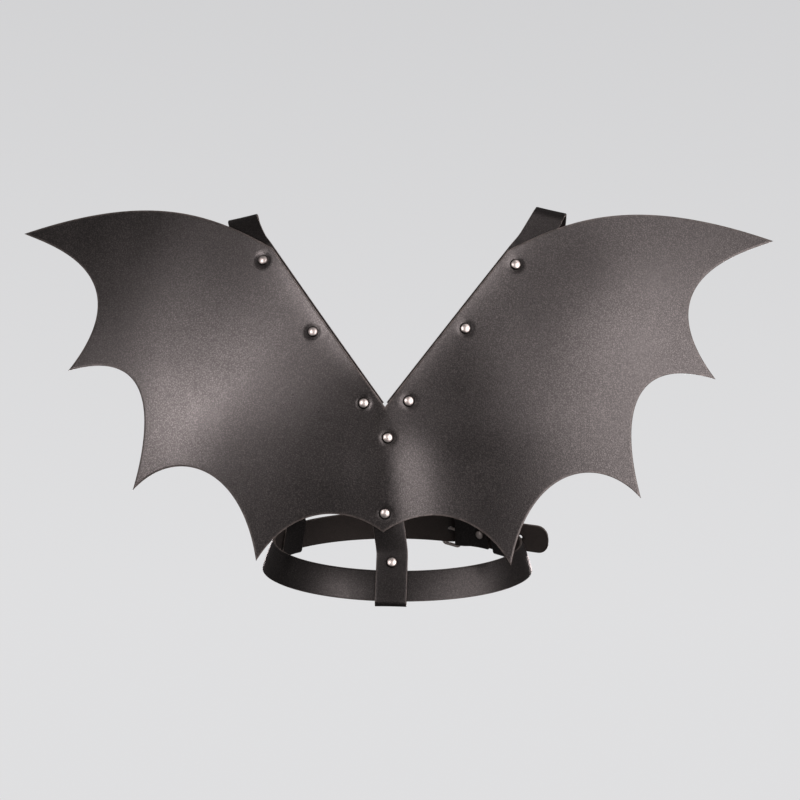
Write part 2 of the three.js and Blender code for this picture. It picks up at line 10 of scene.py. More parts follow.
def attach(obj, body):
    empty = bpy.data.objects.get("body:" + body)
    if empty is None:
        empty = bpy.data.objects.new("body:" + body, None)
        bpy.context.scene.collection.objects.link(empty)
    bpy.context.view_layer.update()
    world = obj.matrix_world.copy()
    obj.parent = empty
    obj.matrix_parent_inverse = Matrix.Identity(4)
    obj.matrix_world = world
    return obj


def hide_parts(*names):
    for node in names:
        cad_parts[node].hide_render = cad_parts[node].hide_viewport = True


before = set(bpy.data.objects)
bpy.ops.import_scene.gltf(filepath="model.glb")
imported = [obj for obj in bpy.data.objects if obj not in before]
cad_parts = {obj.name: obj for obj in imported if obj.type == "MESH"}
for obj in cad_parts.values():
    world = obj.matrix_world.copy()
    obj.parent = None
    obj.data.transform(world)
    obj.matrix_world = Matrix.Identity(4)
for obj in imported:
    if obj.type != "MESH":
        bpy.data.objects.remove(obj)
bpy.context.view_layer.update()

MM = 0.001  # every size below is in millimetres

# Leather
PANEL_THICK = 2.5
STRAP_THICK = 2.5
STRAP_WIDTH = 30.0
LAYER_GAP = 0.35
EDGE_ROUND = 0.6
RIM_RUB_AND_GLINT = 0.5  # wear and painted highlight on the rim of a face, as a share of those on its cut edge
EDGE_FLESH = 0.4  # how much of the flesh side shows on the inner half of the panel's cut edge
HALF_WIDTH = STRAP_WIDTH / 2
LAYER = STRAP_THICK + LAYER_GAP

# Outline of one wing in x and z, from the V notch round to the spine; the other wing mirrors it
V_BOTTOM = (0.0, -189.5)
V_CORNER = (114.5, -36.5)
WING_EDGES = [  # first handle, second handle, end
    ((169, -7.5), (234.5, 26.5), (379.5, -18.5)),
    ((350, -30.5), (242, -60.5), (318, -158.5)),
    ((230, -133.5), (225, -202.5), (245.5, -274)),
    ((203.5, -228.5), (137, -245.5), (122, -339)),
    ((89.5, -285), (36, -282.5), (0, -309)),
]
OUTLINE_STEP = 3.0
OUTLINE_FINE = 200  # points on each edge before they are spaced

# Form of the panel
BACK_Y = -89.0
LEAN = dict(from_z=-203.5, span=180, soft=0.3, depth=34, power=1.5)
SWEEP = dict(from_x=150, soft=85, slope=0.37, low_share=0.45, low_z=-345, high_z=-20, power=0.8)
SPINE_FOLD = dict(right=6, left=1, half=34, reach=130, from_z=-195, fade=50)
V_FLARE = dict(height=2.2, spread=24, soft=4)  # the leather stands out towards its V edges
# Swells and hollows: middle x and z, heading in degrees, half length, half width, height outwards
SOFT_ROLLS = [
    (-150, 5, 78, 147, 54, -5),
    (-206, -230, 54, 84, 77, 5),
    (208, -98, -15, 60, 100, 5),
    (11, -282, 111, 71, 40, 5),
    (93, -144, 106, 78, 47, 2),
    (-43, -180, 70, 160, 73, 5),
]
EDGE_LIP = dict(height=1.3, spread=6.5, fade=45)  # the leather curls out more at the V edge's cut itself
DIMPLE = dict(depth=0.85, spread=2.2, seat=5.2)  # each rivet draws the leather's face down
MESH_STEP = 4.0
MESH_REACH = dict(x=400, low_z=-350, high_z=20)
MESH_CLEAR = 3.4  # of the steady mesh from the rim
RING_CLEAR = 1.2  # of the rivets' rings and the rim's second row from the rim
RIM_ROW = 1.6  # from the rim to its second row
RIVET_RINGS = (3.2, 4.4, 5.4, 6.4, 7.6, 9.2, 11.2)
RIVET_CLEAR = 13.0
RING_POINTS = 24

# Straps: their section, and their runs on the panel
SECTION_STOPS = (-8, -4, 0, 4, 8)  # points across a strap's face
SECTION_MARGIN = 2.0  # from the rounded edge to the first point
CORNER_POINTS = 4
SMOOTH_BELOW = math.radians(50)
STRAP_PROUD = 1.5
STRAP_END = 4.3
STRAP_LEAVES = 197.0
PANEL_STEP = 6.0
CENTRE_STRAP = dict(top_x=-1.5, top_z=-204, leaves_z=-300)

# Shoulder strap over the shoulder and down the front: x, y, z, drop and turn of its width in degrees,
# and the share of the tops' set: both tops sit towards the right, the right one higher and the left one lower
SHOULDER_ROUTE = [
    (136.5, -36.5, -30, 34, -4, 0.2),
    (145, -25.5, -15, 26, -2, 0.45),
    (151.5, -13, -2.6, 17, 0, 0.75),
    (153.5, 1, 1.25, 12, 0, 1),
    (154, 16, -2.4, 12, -2, 1),
    (152.5, 32, -17, 11, -6, 1),
    (148.5, 45, -50, 9, -14, 0.8),
    (142.5, 54, -105, 7, -24, 0.5),
    (132.5, 58, -170, 5, -34, 0.2),
    (121, 55.5, -230, 2, -42, 0),
]
TOPS_SET = dict(right=3.3, higher=5)
ROUTE_STEPS = 8

# Belt: a tilted ellipse, low at the back, with its lower edge standing out
BELT = dict(shift_x=8.5, centre_y=1, half_x=128.5, half_y=94, back_z=-359.7, tilt=14, lean=20)
BELT_CUP = 0.007  # bend across the belt's width, per millimetre
BELT_STEP = 2.0  # degrees
TAIL_LENGTH = 96.0
TAIL_CORNER = 11.0
TAIL_CORNER_STEPS = 8
TAIL_RISE = 16.0
TAIL_RISE_STEPS = 7
TAIL_STEP = 6.0
HOLE_SPACING = 22.0
HOLE_RADIUS = 2.2
HOLE_COUNT = 3
HOLE_SIDES = 24
HOLE_CUT = 2.0  # the cutter's reach on either side of the leather's middle

# Strap ends folded round the belt: angle from the spine in degrees, rivet height above the belt's middle
BELT_LOOPS = dict(centre=(0, 22), right=(124.5, 24), left=(240.5, 24))
LOOP_TOP = 31.0
LOOP_OUTSIDE = (LOOP_TOP, 23, HALF_WIDTH, 7.5, 0, -7.5)  # heights on the belt, down its outside
LOOP_INSIDE = (-7.5, 0, 7.5)  # and up behind it
LOOP_GAP = 0.65
LOOP_LAYER = STRAP_THICK + LOOP_GAP
LOOP_SLACK = 1.2
FOLD_STEPS = 10
LOOP_CLOSES = [  # layers in, height over the belt's edge, facing out and up
    (1, 0, -1, 0),
    (0.72, 1.6, -0.84, 0.54),
    (0.28, 3.4, -0.86, 0.51),
    (0, 5.4, -0.98, 0.2),
]

# Buckle: a wire frame with its prong
BUCKLE_ANGLE = math.radians(152)
BUCKLE = dict(wire=1.75, reach=20, half_height=18.2, corner=4.0)
PRONG = dict(radius=1.5, clear=0.5, start=0.5, past=2.5)  # it starts at the hinge and ends past the frame
WIRE_SIDES = 20
WIRE_CORNER_STEPS = 8
FOLD_RIVET = 26.0
FOLD_RUN = [  # along the belt, layers in, facing along and out
    (-36, 1, 0, -1),
    (-29, 1, 0, -1),
    (-22, 1, 0, -1),
    (-13, 1.25, 0.25, -0.97),
    (-7, 2.05, 0.3, -0.95),
]

# Rivets: a cap with a low domed face and a round shoulder; the back cap as rows of radius and height
RIVET_CAP = dict(radius=5.6, face_curve=7.8, shoulder=1.2, wall=0.3)
CAP_FACE_ROWS = 10
CAP_SHOULDER_ROWS = 8
# Painted shade and painted dark reflection: a dark ring on each cap's shoulder
CAP_SHADE_SPAN = (0.62, 0.84)  # shares of its radius over which a cap's shoulder darkens
BACK_THICK = 1.1
RIVET_BACK = [
    (0, 0), (2.6, 0.02), (3.05, 0.12), (3.2, 0.4), (3.1, 0.75), (2.7, 1.0),
    (1.6, BACK_THICK), (0, BACK_THICK),
]
RIVET_POST = 1.7
RIVET_SIDES = 40
RIVET_SINK = 0.25  # the cap's rim presses into the dimple
BACK_SEAT = 0.3
BEND_SLACK = 0.35  # a back cap seats this much lower where the leather under it bends
RIVET_HOLE = 2.1
HOLE_MIDDLE = 0.98  # triangles whose middles lie within this share of a hole's radius are left out
RIVET_INSET = 14.5
V_RIVETS = {-1: (14.8, 99.7, 187.2), 1: (18, 106, 184.8)}  # along the V edge, on the left and the right
SPINE_RIVETS = dict(top=(3, -219), low=(1.5, -291))

# Finish of the leathers: colours, pebble size and grain depth in millimetres,
# gloss of the hide and weight of its topcoat
# The light edge colour is partly wear on the cut edges and partly a painted highlight along them
WING_LOOK = dict(
    dark=(0.0255, 0.0238, 0.0227, 1), light=(0.0335, 0.0312, 0.0297, 1), edge=(0.16, 0.146, 0.136, 1),
    pebble=1.8, grain_depth=0.034, rough=(0.27, 0.315), shine=0.65, topcoat=0.82,
)
STRAP_LOOK = dict(
    dark=(0.0125, 0.0117, 0.0113, 1), light=(0.0155, 0.0146, 0.014, 1), edge=(0.13, 0.118, 0.109, 1),
    pebble=1.5, grain_depth=0.03, rough=(0.34, 0.38), shine=0.35, topcoat=0.45,
)
GRAIN = dict(  # scales and reach as shares of a pebble, patches by the metre
    warp_scale=0.45, warp_reach=0.9, crease_width=0.22, crease_dull=0.5,
    pore_scale=1.3, pore_height=0.35, pore_range=(0.3, 0.7),
    patch_scale=55.0, patch_range=(0.35, 0.65), patch_depth=(0.8, 1.0),
)
# Painted shade: the grain's creases darken towards this colour, which also gives the pores their darker tone
PORE_TONE_AND_CREASE_SHADE = (0.004, 0.004, 0.004, 1)
CREASE_SHADE_SHARE = 0.55
CREASE_ROUGH = 0.08
PORE_SHARE = 0.95  # how far the pores darken to the creases' colour
PORE_FADE = (0.2, 0.8)
SUEDE = dict(dark=(0.018, 0.016, 0.015, 1), light=(0.05, 0.045, 0.041, 1), fibre_scale=900.0, rough=0.4)
CLOUD_RANGE = (0.36, 0.64)
# Breaks up the lighter cut edges: part wear, part painted highlight
EDGE_RUB_AND_GLINT = dict(range=(0.32, 0.62), least=0.35)

# Finish of the plated metal
NICKEL = dict(
    # The darkest colour is painted shade and painted dark reflection on the caps' shoulders
    bright=(0.78, 0.76, 0.73, 1), dull=(0.62, 0.6, 0.58, 1), shoulder_shade=(0.03, 0.028, 0.027, 1),
    rough=(0.4, 0.46), cloud_scale=260.0, cloud_range=(0.3, 0.7),
    scratch_scale=2400.0, scratch_strength=0.15, scratch_depth=0.05,
)

# Floor and lights
FLOOR = dict(radius=3200.0, bend=1500.0, wall=3000.0, z=-560.0, sides=96, bend_rows=15)
FLOOR_GLOW = dict(low=(0.74, 0.74, 0.75, 1), high=(0.64, 0.64, 0.65, 1))
LIGHT_COLOUR = (1, 0.865, 0.855)
SOFTBOXES = dict(  # azimuth, elevation, distance, width, height, watts
    left_softbox=(-37, 14, 2000, 520, 1040, 17.6),
    right_softbox=(43, 4.5, 2000, 1680, 2300, 45),
    right_fill=(62, 42, 2000, 800, 3200, 12.5),
    front_fill=(180, -4, 2200, 1600, 700, 32),
)
ROOM_LIGHT = dict(colour=(1, 0.9, 0.89, 1), strength=0.1)

# Camera: the picture is 800 pixels square, 0.952 mm to a pixel at the back of the panel
PICTURE = 800
MM_PER_PIXEL = 0.952
CAMERA = dict(distance=2000, yaw=3.2, roll=0.8, aim=(0, -92, -189.5), aim_pixel=(385, 407), sensor=36)


# Small helpers
def unit(v):
    v = np.asarray(v, float)
    return v / np.linalg.norm(v, axis=-1, keepdims=True)


def smoothstep(x):
    t = np.clip(x, 0, 1)
    return t * t * (3 - 2 * t)


def new_object(name, mesh):
    item = bpy.data.objects.new(name, mesh)
    bpy.context.scene.collection.objects.link(item)
    return item


def mesh_from(name, points, faces, edges=()):
    mesh = bpy.data.meshes.new(name)
    mesh.from_pydata((np.asarray(points) * MM).tolist(), list(edges), faces)
    mesh.update()
    return mesh


def set_numbers(mesh, name, kind, values):
    field = "vector" if kind == "FLOAT_VECTOR" else "value"
    layer = mesh.attributes.new(name, kind, "POINT")
    layer.data.foreach_set(field, np.asarray(values, np.float32).ravel())


def shade_smooth(mesh):
    mesh.polygons.foreach_set("use_smooth", [True] * len(mesh.polygons))


# Form of the panel
def ease_in(amount, soft):
    """Nothing before its start and the amount itself well past it, with a soft bend between."""
    return (amount + np.hypot(amount, soft)) / 2


def from_v_edge(x, z):
    run = np.subtract(V_CORNER, V_BOTTOM)
    run_x, run_z = run / np.hypot(*run)
    beside = np.abs(x) * run_z - (z - V_BOTTOM[1]) * run_x
    above = np.abs(x) * run_x + (z - V_BOTTOM[1]) * run_z
    return np.where(above > 0, np.maximum(0, beside), np.hypot(x, z - V_BOTTOM[1]))


def v_flare(x, z):
    soft = V_FLARE["soft"]
    return V_FLARE["height"] * np.exp((soft - np.hypot(from_v_edge(x, z), soft)) / V_FLARE["spread"])


def edge_lip(x, z):
    fade = smoothstep((np.asarray(z) - V_BOTTOM[1]) / EDGE_LIP["fade"])
    return fade * EDGE_LIP["height"] * np.exp(-from_v_edge(x, z) / EDGE_LIP["spread"])


def soft_rolls(x, z):
    total = np.zeros(np.broadcast(x, z).shape)
    for roll_x, roll_z, heading, half_length, half_width, height in SOFT_ROLLS:
        turn = math.radians(heading)
        along = (x - roll_x) * math.cos(turn) + (z - roll_z) * math.sin(turn)
        across = (z - roll_z) * math.cos(turn) - (x - roll_x) * math.sin(turn)
        total = total + height * np.exp(-(along / half_length) ** 2 - (across / half_width) ** 2)
    return total


def panel_inner(x, z):
    x = np.asarray(x, float)
    z = np.asarray(z, float)
    lean = LEAN["depth"] * ease_in((z - LEAN["from_z"]) / LEAN["span"], LEAN["soft"]) ** LEAN["power"]
    bend = SWEEP["slope"] * ease_in(np.abs(x) - SWEEP["from_x"], SWEEP["soft"])
    height = np.maximum(0, (z - SWEEP["low_z"]) / (SWEEP["high_z"] - SWEEP["low_z"]))
    share = SWEEP["low_share"] + (1 - SWEEP["low_share"]) * height ** SWEEP["power"]
    fall = np.where(x > 0, SPINE_FOLD["right"], SPINE_FOLD["left"])
    fold = fall * (1 - np.exp(-(x / SPINE_FOLD["half"]) ** 2)) * np.exp(-(x / SPINE_FOLD["reach"]) ** 2)
    fade = smoothstep((SPINE_FOLD["from_z"] - z) / SPINE_FOLD["fade"])
    return BACK_Y + lean + bend * share + fold * fade - v_flare(x, z) - soft_rolls(x, z)


def panel_outward(x, z):
    slight = 0.5
    slope_x = (panel_inner(x + slight, z) - panel_inner(x - slight, z)) / (2 * slight)
    slope_z = (panel_inner(x, z + slight) - panel_inner(x, z - slight)) / (2 * slight)
    return np.stack([slope_x, -np.ones_like(slope_x), slope_z], -1)


def v_edge_spot(side, along, inset):
    run = np.subtract(V_CORNER, V_BOTTOM)
    run_x, run_z = run / np.hypot(*run)
    x = side * (V_BOTTOM[0] + along * run_x + inset * run_z)
    z = V_BOTTOM[1] + along * run_z - inset * run_x
    return x, z, side * run_z, -run_x


def panel_rivets():
    spots = []
    for side in (-1, 1):
        for along in V_RIVETS[side]:
            spots.append(v_edge_spot(side, along, RIVET_INSET)[:2])
    spots.extend(SPINE_RIVETS.values())
    return np.array(spots, float)


# Wing panel
def spaced(curve, step):
    """Points a steady step apart along a fine curve, without its last point."""
    lengths = np.concatenate([[0], np.cumsum(np.hypot(*np.diff(curve, axis=0).T))])
    places = np.linspace(0, lengths[-1], max(2, round(lengths[-1] / step)) + 1)[:-1]
    return np.stack([np.interp(places, lengths, curve[:, k]) for k in (0, 1)], -1)


def wing_outline():
    t = np.linspace(0, 1, OUTLINE_FINE)[:, None]
    start = np.array(V_CORNER)
    runs = [np.linspace(V_BOTTOM, V_CORNER, OUTLINE_FINE)]
    for handle_1, handle_2, end in WING_EDGES:
        h1, h2, e = np.array(handle_1), np.array(handle_2), np.array(end)
        runs.append((1 - t) ** 3 * start + 3 * (1 - t) ** 2 * t * h1 + 3 * (1 - t) * t ** 2 * h2 + t ** 3 * e)
        start = e
    mirrored = [run[::-1] * (-1, 1) for run in reversed(runs)]
    return np.concatenate([spaced(run, OUTLINE_STEP) for run in runs + mirrored])


def inset_loop(loop, distance):
    ahead = unit(np.roll(loop, -1, 0) - loop)
    behind = np.roll(ahead, 1, 0)
    normal_1 = np.stack([ahead[:, 1], -ahead[:, 0]], -1)
    normal_0 = np.stack([behind[:, 1], -behind[:, 0]], -1)
    mitre = (normal_0 + normal_1) / (1 + np.sum(normal_0 * normal_1, -1, keepdims=True))
    return loop + distance * mitre


def inside_and_clear(points, loop):
    """Whether each point lies inside a closed loop, and how far it is from it."""
    a, b = loop, np.roll(loop, -1, 0)
    inside = np.zeros(len(points), bool)
    nearest = np.full(len(points), 1e9)
    for p, q in zip(a, b):
        x, z = points[:, 0], points[:, 1]
        crosses = (p[1] > z) != (q[1] > z)
        with np.errstate(divide="ignore", invalid="ignore"):
            at = p[0] + (z - p[1]) * (q[0] - p[0]) / (q[1] - p[1])
        inside ^= crosses & (x < at)
        d = q - p
        t = np.clip(((points - p) @ d) / (d @ d), 0, 1)
        nearest = np.minimum(nearest, np.hypot(*(points - p - t[:, None] * d).T))
    return inside, nearest


def from_nearest(points, spots):
    """How far each point is from the nearest of some spots."""
    return np.min(np.hypot(*(points[:, None] - spots[None]).transpose(2, 0, 1)), 1)


def circle(centre, radius, count):
    turn = np.linspace(0, 2 * math.pi, count, endpoint=False)
    return np.asarray(centre) + radius * np.stack([np.cos(turn), np.sin(turn)], -1)


def panel_plan():
    """The panel laid out in x and z: its points, triangles, outer loop and the loops of its holes."""
    outline = wing_outline()
    rim = inset_loop(outline, EDGE_ROUND)
    rivets = panel_rivets()
    holes = [circle(spot, RIVET_HOLE, RING_POINTS) for spot in rivets]
    rings = [circle(spot, radius, RING_POINTS) for spot in rivets for radius in RIVET_RINGS]
    columns = np.arange(-MESH_REACH["x"], MESH_REACH["x"], MESH_STEP)
    rows = np.arange(MESH_REACH["low_z"], MESH_REACH["high_z"], MESH_STEP * math.sqrt(3) / 2)
    lattice = np.array([(x + MESH_STEP / 2 * (i % 2), z) for i, z in enumerate(rows) for x in columns])
    lattice = lattice[from_nearest(lattice, rivets) > RIVET_CLEAR]
    second_row = inset_loop(outline, EDGE_ROUND + RIM_ROW)
    sets = [(second_row, RING_CLEAR), (lattice, MESH_CLEAR), (np.concatenate(rings), RING_CLEAR)]
    kept = []
    for points, clear in sets:
        inside, nearest = inside_and_clear(points, rim)
        kept.append(points[inside & (nearest > clear)])
    points = np.concatenate([rim, *holes, *kept])
    loops = []
    first = 0
    for loop in (rim, *holes):
        loops.append(np.arange(first, first + len(loop)))
        first += len(loop)
    edges = [(int(a), int(b)) for loop in loops for a, b in zip(loop, np.roll(loop, -1))]
    inside_only, merge_within = 1, 1e-7
    made = delaunay_2d_cdt([Vector(p) for p in points], edges, [], inside_only, merge_within)
    flat = np.array([tuple(v) for v in made[0]])
    triangles = np.array(made[2])
    middles = flat[triangles].mean(1)
    inside, _ = inside_and_clear(middles, rim)
    in_hole = from_nearest(middles, rivets) < RIVET_HOLE * HOLE_MIDDLE
    return flat, triangles[inside & ~in_hole], loops, outline


def rivet_dip(x, z):
    """How far the rivets draw the panel's outer face down."""
    dip = np.zeros_like(x)
    for spot_x, spot_z in panel_rivets():
        away = np.maximum(0, np.hypot(x - spot_x, z - spot_z) - DIMPLE["seat"])
        dip = np.maximum(dip, DIMPLE["depth"] * np.exp(-(away / DIMPLE["spread"]) ** 2))
    return dip


def panel_points(plan, depth):
    """The panel's points at a depth below its outer face."""
    x, z = plan[:, 0], plan[:, 1]
    stretch = np.linalg.norm(panel_outward(x, z), axis=-1)
    share = 1 - depth / PANEL_THICK
    y = panel_inner(x, z) - edge_lip(x, z) - (PANEL_THICK - depth - rivet_dip(x, z) * share) * stretch
    return np.stack([x, y, z], -1)


def wing_panel(leather):
    plan, triangles, loops, outline = panel_plan()
    count = len(plan)
    rim = loops[0]
    points = [panel_points(plan, 0), panel_points(plan, PANEL_THICK)]
    # The rim of the face takes a share of the cut edge's wear and painted highlight
    rub_and_glint = np.zeros(count)
    rub_and_glint[rim] = RIM_RUB_AND_GLINT
    edge = [rub_and_glint, rub_and_glint]
    flesh = [np.zeros(count), np.ones(count)]
    faces = triangles.tolist() + (triangles[:, ::-1] + count).tolist()
    band = [rim]
    first = 2 * count
    part = EDGE_ROUND * (1 - math.sqrt(0.5))
    cut_rows = [(part, part), (0, EDGE_ROUND), (0, PANEL_THICK - EDGE_ROUND), (part, PANEL_THICK - part)]
    for inset, depth in cut_rows:
        points.append(panel_points(inset_loop(outline, inset), depth))
        edge.append(np.ones(len(rim)))
        flesh.append(np.full(len(rim), EDGE_FLESH if depth > EDGE_ROUND else 0.0))
        band.append(np.arange(first, first + len(rim)))
        first += len(rim)
    band.append(rim + count)
    for upper, lower in zip(band, band[1:]):
        faces += np.stack([upper, np.roll(upper, -1), np.roll(lower, -1), lower], -1).tolist()
    for loop in loops[1:]:
        faces += np.stack([loop, np.roll(loop, -1), np.roll(loop, -1) + count, loop + count], -1).tolist()
    mesh = mesh_from("wing_panel_leather", np.concatenate(points), faces)
    set_numbers(mesh, "cut_edge", "FLOAT", np.concatenate(edge))
    set_numbers(mesh, "flesh_side", "FLOAT", np.concatenate(flesh))
    shade_smooth(mesh)
    mesh.materials.append(leather)
    return new_object("wing_panel_leather", mesh)


# Belt
def belt_frame(angle):
    rise = math.tan(math.radians(BELT["tilt"]))
    lean = math.radians(BELT["lean"])
    y = -BELT["half_y"] * math.cos(angle)
    middle = np.array([
        BELT["shift_x"] + BELT["half_x"] * math.sin(angle),
        BELT["centre_y"] + y,
        BELT["back_z"] + (y + BELT["half_y"]) * rise,
    ])
    speed_y = BELT["half_y"] * math.sin(angle)
    along = np.array([BELT["half_x"] * math.cos(angle), speed_y, speed_y * rise])
    speed = np.linalg.norm(along)
    along = along / speed
    side = unit([along[1], -along[0], 0])
    up = np.array([0, 0, math.cos(lean)]) - math.sin(lean) * side
    up = unit(up - along * (up @ along))
    return middle, along, up, np.cross(along, up), speed


def belt_point(angle, out, up):
    middle, _, up_axis, out_axis, _ = belt_frame(angle)
    return middle + out * out_axis + up * up_axis


def path_row(middle, across, out, cup=0.0, narrow=1.0):
    return dict(middle=middle, across=across, out=out, cup=cup, narrow=narrow)


def belt_row(along, out, face_along, face_out):
    speed = belt_frame(BUCKLE_ANGLE)[4]
    angle = BUCKLE_ANGLE + along / speed
    _, along_axis, up, out_axis, _ = belt_frame(angle)
    facing = unit(face_along * along_axis + face_out * out_axis)
    return path_row(belt_point(angle, out, 0), up, facing, cup=BELT_CUP * face_out)


def belt_path():
    """From the end that is folded round the hinge bar, right round the waist to the tail."""
    bend = BUCKLE["wire"] + LAYER_GAP + STRAP_THICK / 2
    rows = [belt_row(along, -LAYER * layers, fa, fo) for along, layers, fa, fo in FOLD_RUN]
    for i in range(FOLD_STEPS + 1):
        turn = math.pi * i / FOLD_STEPS
        face_along, face_out = math.sin(turn), -math.cos(turn)
        rows.append(belt_row(bend * face_along, bend * (face_out - 1), face_along, face_out))
    speed = belt_frame(BUCKLE_ANGLE)[4]
    whole = math.degrees(2 * math.pi - TAIL_RISE / speed)
    steps = math.ceil(whole / BELT_STEP)
    for i in range(1, steps + 1):
        rows.append(belt_row(-math.radians(whole * i / steps) * speed, 0, 0, 1))
    for share in np.linspace(0, 1, TAIL_RISE_STEPS + 1)[1:-1]:
        rows.append(belt_row(TAIL_RISE * (1 - share), LAYER * smoothstep(share), 0, 1))
    return rows + tail_rows()


def tail_rows():
    middle, along, up, out, _ = belt_frame(BUCKLE_ANGLE)
    straight = TAIL_LENGTH - TAIL_CORNER
    lengths = list(np.linspace(0, straight, math.ceil(straight / TAIL_STEP)))
    turns = np.linspace(0, math.pi / 2, TAIL_CORNER_STEPS + 1)[1:]
    lengths += [straight + TAIL_CORNER * math.sin(turn) for turn in turns]
    rows = []
    for length in lengths:
        past = max(0, length - straight)
        half = HALF_WIDTH - TAIL_CORNER + math.sqrt(max(0, TAIL_CORNER ** 2 - past ** 2))
        place = middle - length * along + LAYER * out
        rows.append(path_row(place, up, out, cup=BELT_CUP, narrow=half / HALF_WIDTH))
    return rows


def belt_loop_path(angle_deg):
    """A strap end folded round the belt: down outside it, round its lower edge and up behind it."""
    angle = math.radians(angle_deg)
    _, along, up_axis, out_axis, speed = belt_frame(angle)
    curve = BELT["half_x"] * BELT["half_y"] / speed ** 3
    top = HALF_WIDTH + LOOP_LAYER - STRAP_THICK
    plan = [(LOOP_LAYER, up, 1, 0) for up in LOOP_OUTSIDE]
    for i in range(FOLD_STEPS + 1):
        turn = math.pi * i / FOLD_STEPS
        face_out, face_up = math.cos(turn), -math.sin(turn)
        plan.append((LOOP_LAYER * face_out, -top + LOOP_LAYER * face_up, face_out, face_up))
    plan += [(-LOOP_LAYER, up, -1, 0) for up in LOOP_INSIDE]
    plan += [(-LOOP_LAYER * layers, top + above, fo, fu) for layers, above, fo, fu in LOOP_CLOSES]
    plan.append((0, LOOP_TOP, -1, 0))
    rows = []
    for out, up, face_out, face_up in plan:
        facing = unit(face_out * out_axis + face_up * up_axis)
        rows.append(path_row(belt_point(angle, out, up), -along, facing, cup=curve * face_out))
    return rows


# Straps
def on_panel_row(x, z, across_x, across_z):
    out = unit(panel_outward(x, z))
    face = np.array([x, float(panel_inner(x, z)), z])
    across = np.array([across_x, 0, across_z])
    across = unit(across - out * (across @ out))
    quarter = HALF_WIDTH / 2 * np.array([-1, 1])
    beside_x, beside_z = x + quarter * across_x, z + quarter * across_z
    beside = np.stack([beside_x, panel_inner(beside_x, beside_z), beside_z], -1)
    cup = -np.sum((beside - face) @ out) / quarter[1] ** 2
    return path_row(face - out * (LAYER_GAP + STRAP_THICK / 2), across, out, cup)


def curve_at(points, along):
    """A point and heading on a centripetal curve through points, at a place counted in spans."""
    span = min(int(along), len(points) - 3)
    w = along - span
    p0, p1, p2, p3 = points[span - 1:span + 3]
    d0, d1, d2 = (np.linalg.norm(b - a) ** 0.5 for a, b in ((p0, p1), (p1, p2), (p2, p3)))
    t1 = d1 * ((p1 - p0) / d0 - (p2 - p0) / (d0 + d1) + (p2 - p1) / d1)
    t2 = d1 * ((p2 - p1) / d1 - (p3 - p1) / (d1 + d2) + (p3 - p2) / d2)
    c2 = -3 * p1 + 3 * p2 - 2 * t1 - t2
    c3 = 2 * p1 - 2 * p2 + t1 + t2
    return p1 + t1 * w + c2 * w ** 2 + c3 * w ** 3, unit(t1 + 2 * c2 * w + 3 * c3 * w ** 2)


def bridge_rows(before, route, after, facing):
    """Rows along a smooth curve that leaves one run, passes a route and meets another run."""
    ends = before[-2:], after[:2]
    points = [r["middle"] for r in ends[0]] + [p for p, _ in route] + [r["middle"] for r in ends[1]]
    widths = [r["across"] for r in ends[0]] + [w for _, w in route] + [r["across"] for r in ends[1]]
    last = len(points) - 2
    rows = []
    for i in range(ROUTE_STEPS + 1, last * ROUTE_STEPS):
        along = i / ROUTE_STEPS
        middle, heading = curve_at(points, along)
        span = int(along)
        across = widths[span] + (along - span) * (widths[span + 1] - widths[span])
        across = unit(across - heading * (across @ heading))
        leaving = before[-1]["cup"] * (1 - smoothstep(along - 1))
        meeting = after[0]["cup"] * smoothstep(along - (last - 1))
        rows.append(path_row(middle, across, facing * np.cross(across, heading), leaving + meeting))
    return rows


def shoulder_path(side):
    steps = math.ceil((STRAP_LEAVES - STRAP_END) / PANEL_STEP)
    on_panel = []
    for along in np.linspace(STRAP_END, STRAP_LEAVES, steps + 1):
        on_panel.append(on_panel_row(*v_edge_spot(side, along, HALF_WIDTH - STRAP_PROUD)))
    route = []
    for x, y, z, drop_deg, turn_deg, share in SHOULDER_ROUTE:
        drop, turn = math.radians(drop_deg), math.radians(turn_deg)
        flat = math.cos(drop)
        across = np.array([side * flat * math.cos(turn), flat * math.sin(turn), -math.sin(drop)])
        point = np.array([side * x + TOPS_SET["right"] * share, y, z + side * TOPS_SET["higher"] * share])
        route.append((point, across))
    loop = belt_loop_path(BELT_LOOPS["right" if side > 0 else "left"][0])
    for row in loop:
        row["across"] = row["across"] * side
    return on_panel + bridge_rows(on_panel, route, loop, side) + loop


def centre_path():
    top_x, top_z, leaves_z = (CENTRE_STRAP[key] for key in ("top_x", "top_z", "leaves_z"))
    slant = (BELT["shift_x"] - top_x) / (top_z - BELT["back_z"])
    steps = math.ceil((top_z - leaves_z) / PANEL_STEP)
    on_panel = []
    for down in np.linspace(0, top_z - leaves_z, steps + 1):
        across = -unit([1, slant])
        on_panel.append(on_panel_row(top_x + slant * down, top_z - down, *across))
    loop = belt_loop_path(BELT_LOOPS["centre"][0])
    return on_panel + bridge_rows(on_panel, [], loop, 1) + loop


# Geometry Nodes helpers
def node_tree(name, inputs):
    """A tree with a geometry in and out and named inputs, given as name and socket type."""
    tree = bpy.data.node_groups.new(name, "GeometryNodeTree")
    tree.interface.new_socket("Geometry", in_out="INPUT", socket_type="NodeSocketGeometry")
    for label, kind in inputs:
        tree.interface.new_socket(label, in_out="INPUT", socket_type=kind)
    tree.interface.new_socket("Geometry", in_out="OUTPUT", socket_type="NodeSocketGeometry")
    return tree


def add_node(tree, kind, links=None, **settings):
    """A node with its settings; links give an input's name or number and a socket or a plain value."""
    node = tree.nodes.new(kind)
    for key, value in settings.items():
        setattr(node, key, value)
    for key, value in (links or {}).items():
        if isinstance(value, bpy.types.NodeSocket):
            tree.links.new(value, node.inputs[key])
        else:
            node.inputs[key].default_value = value
    return node


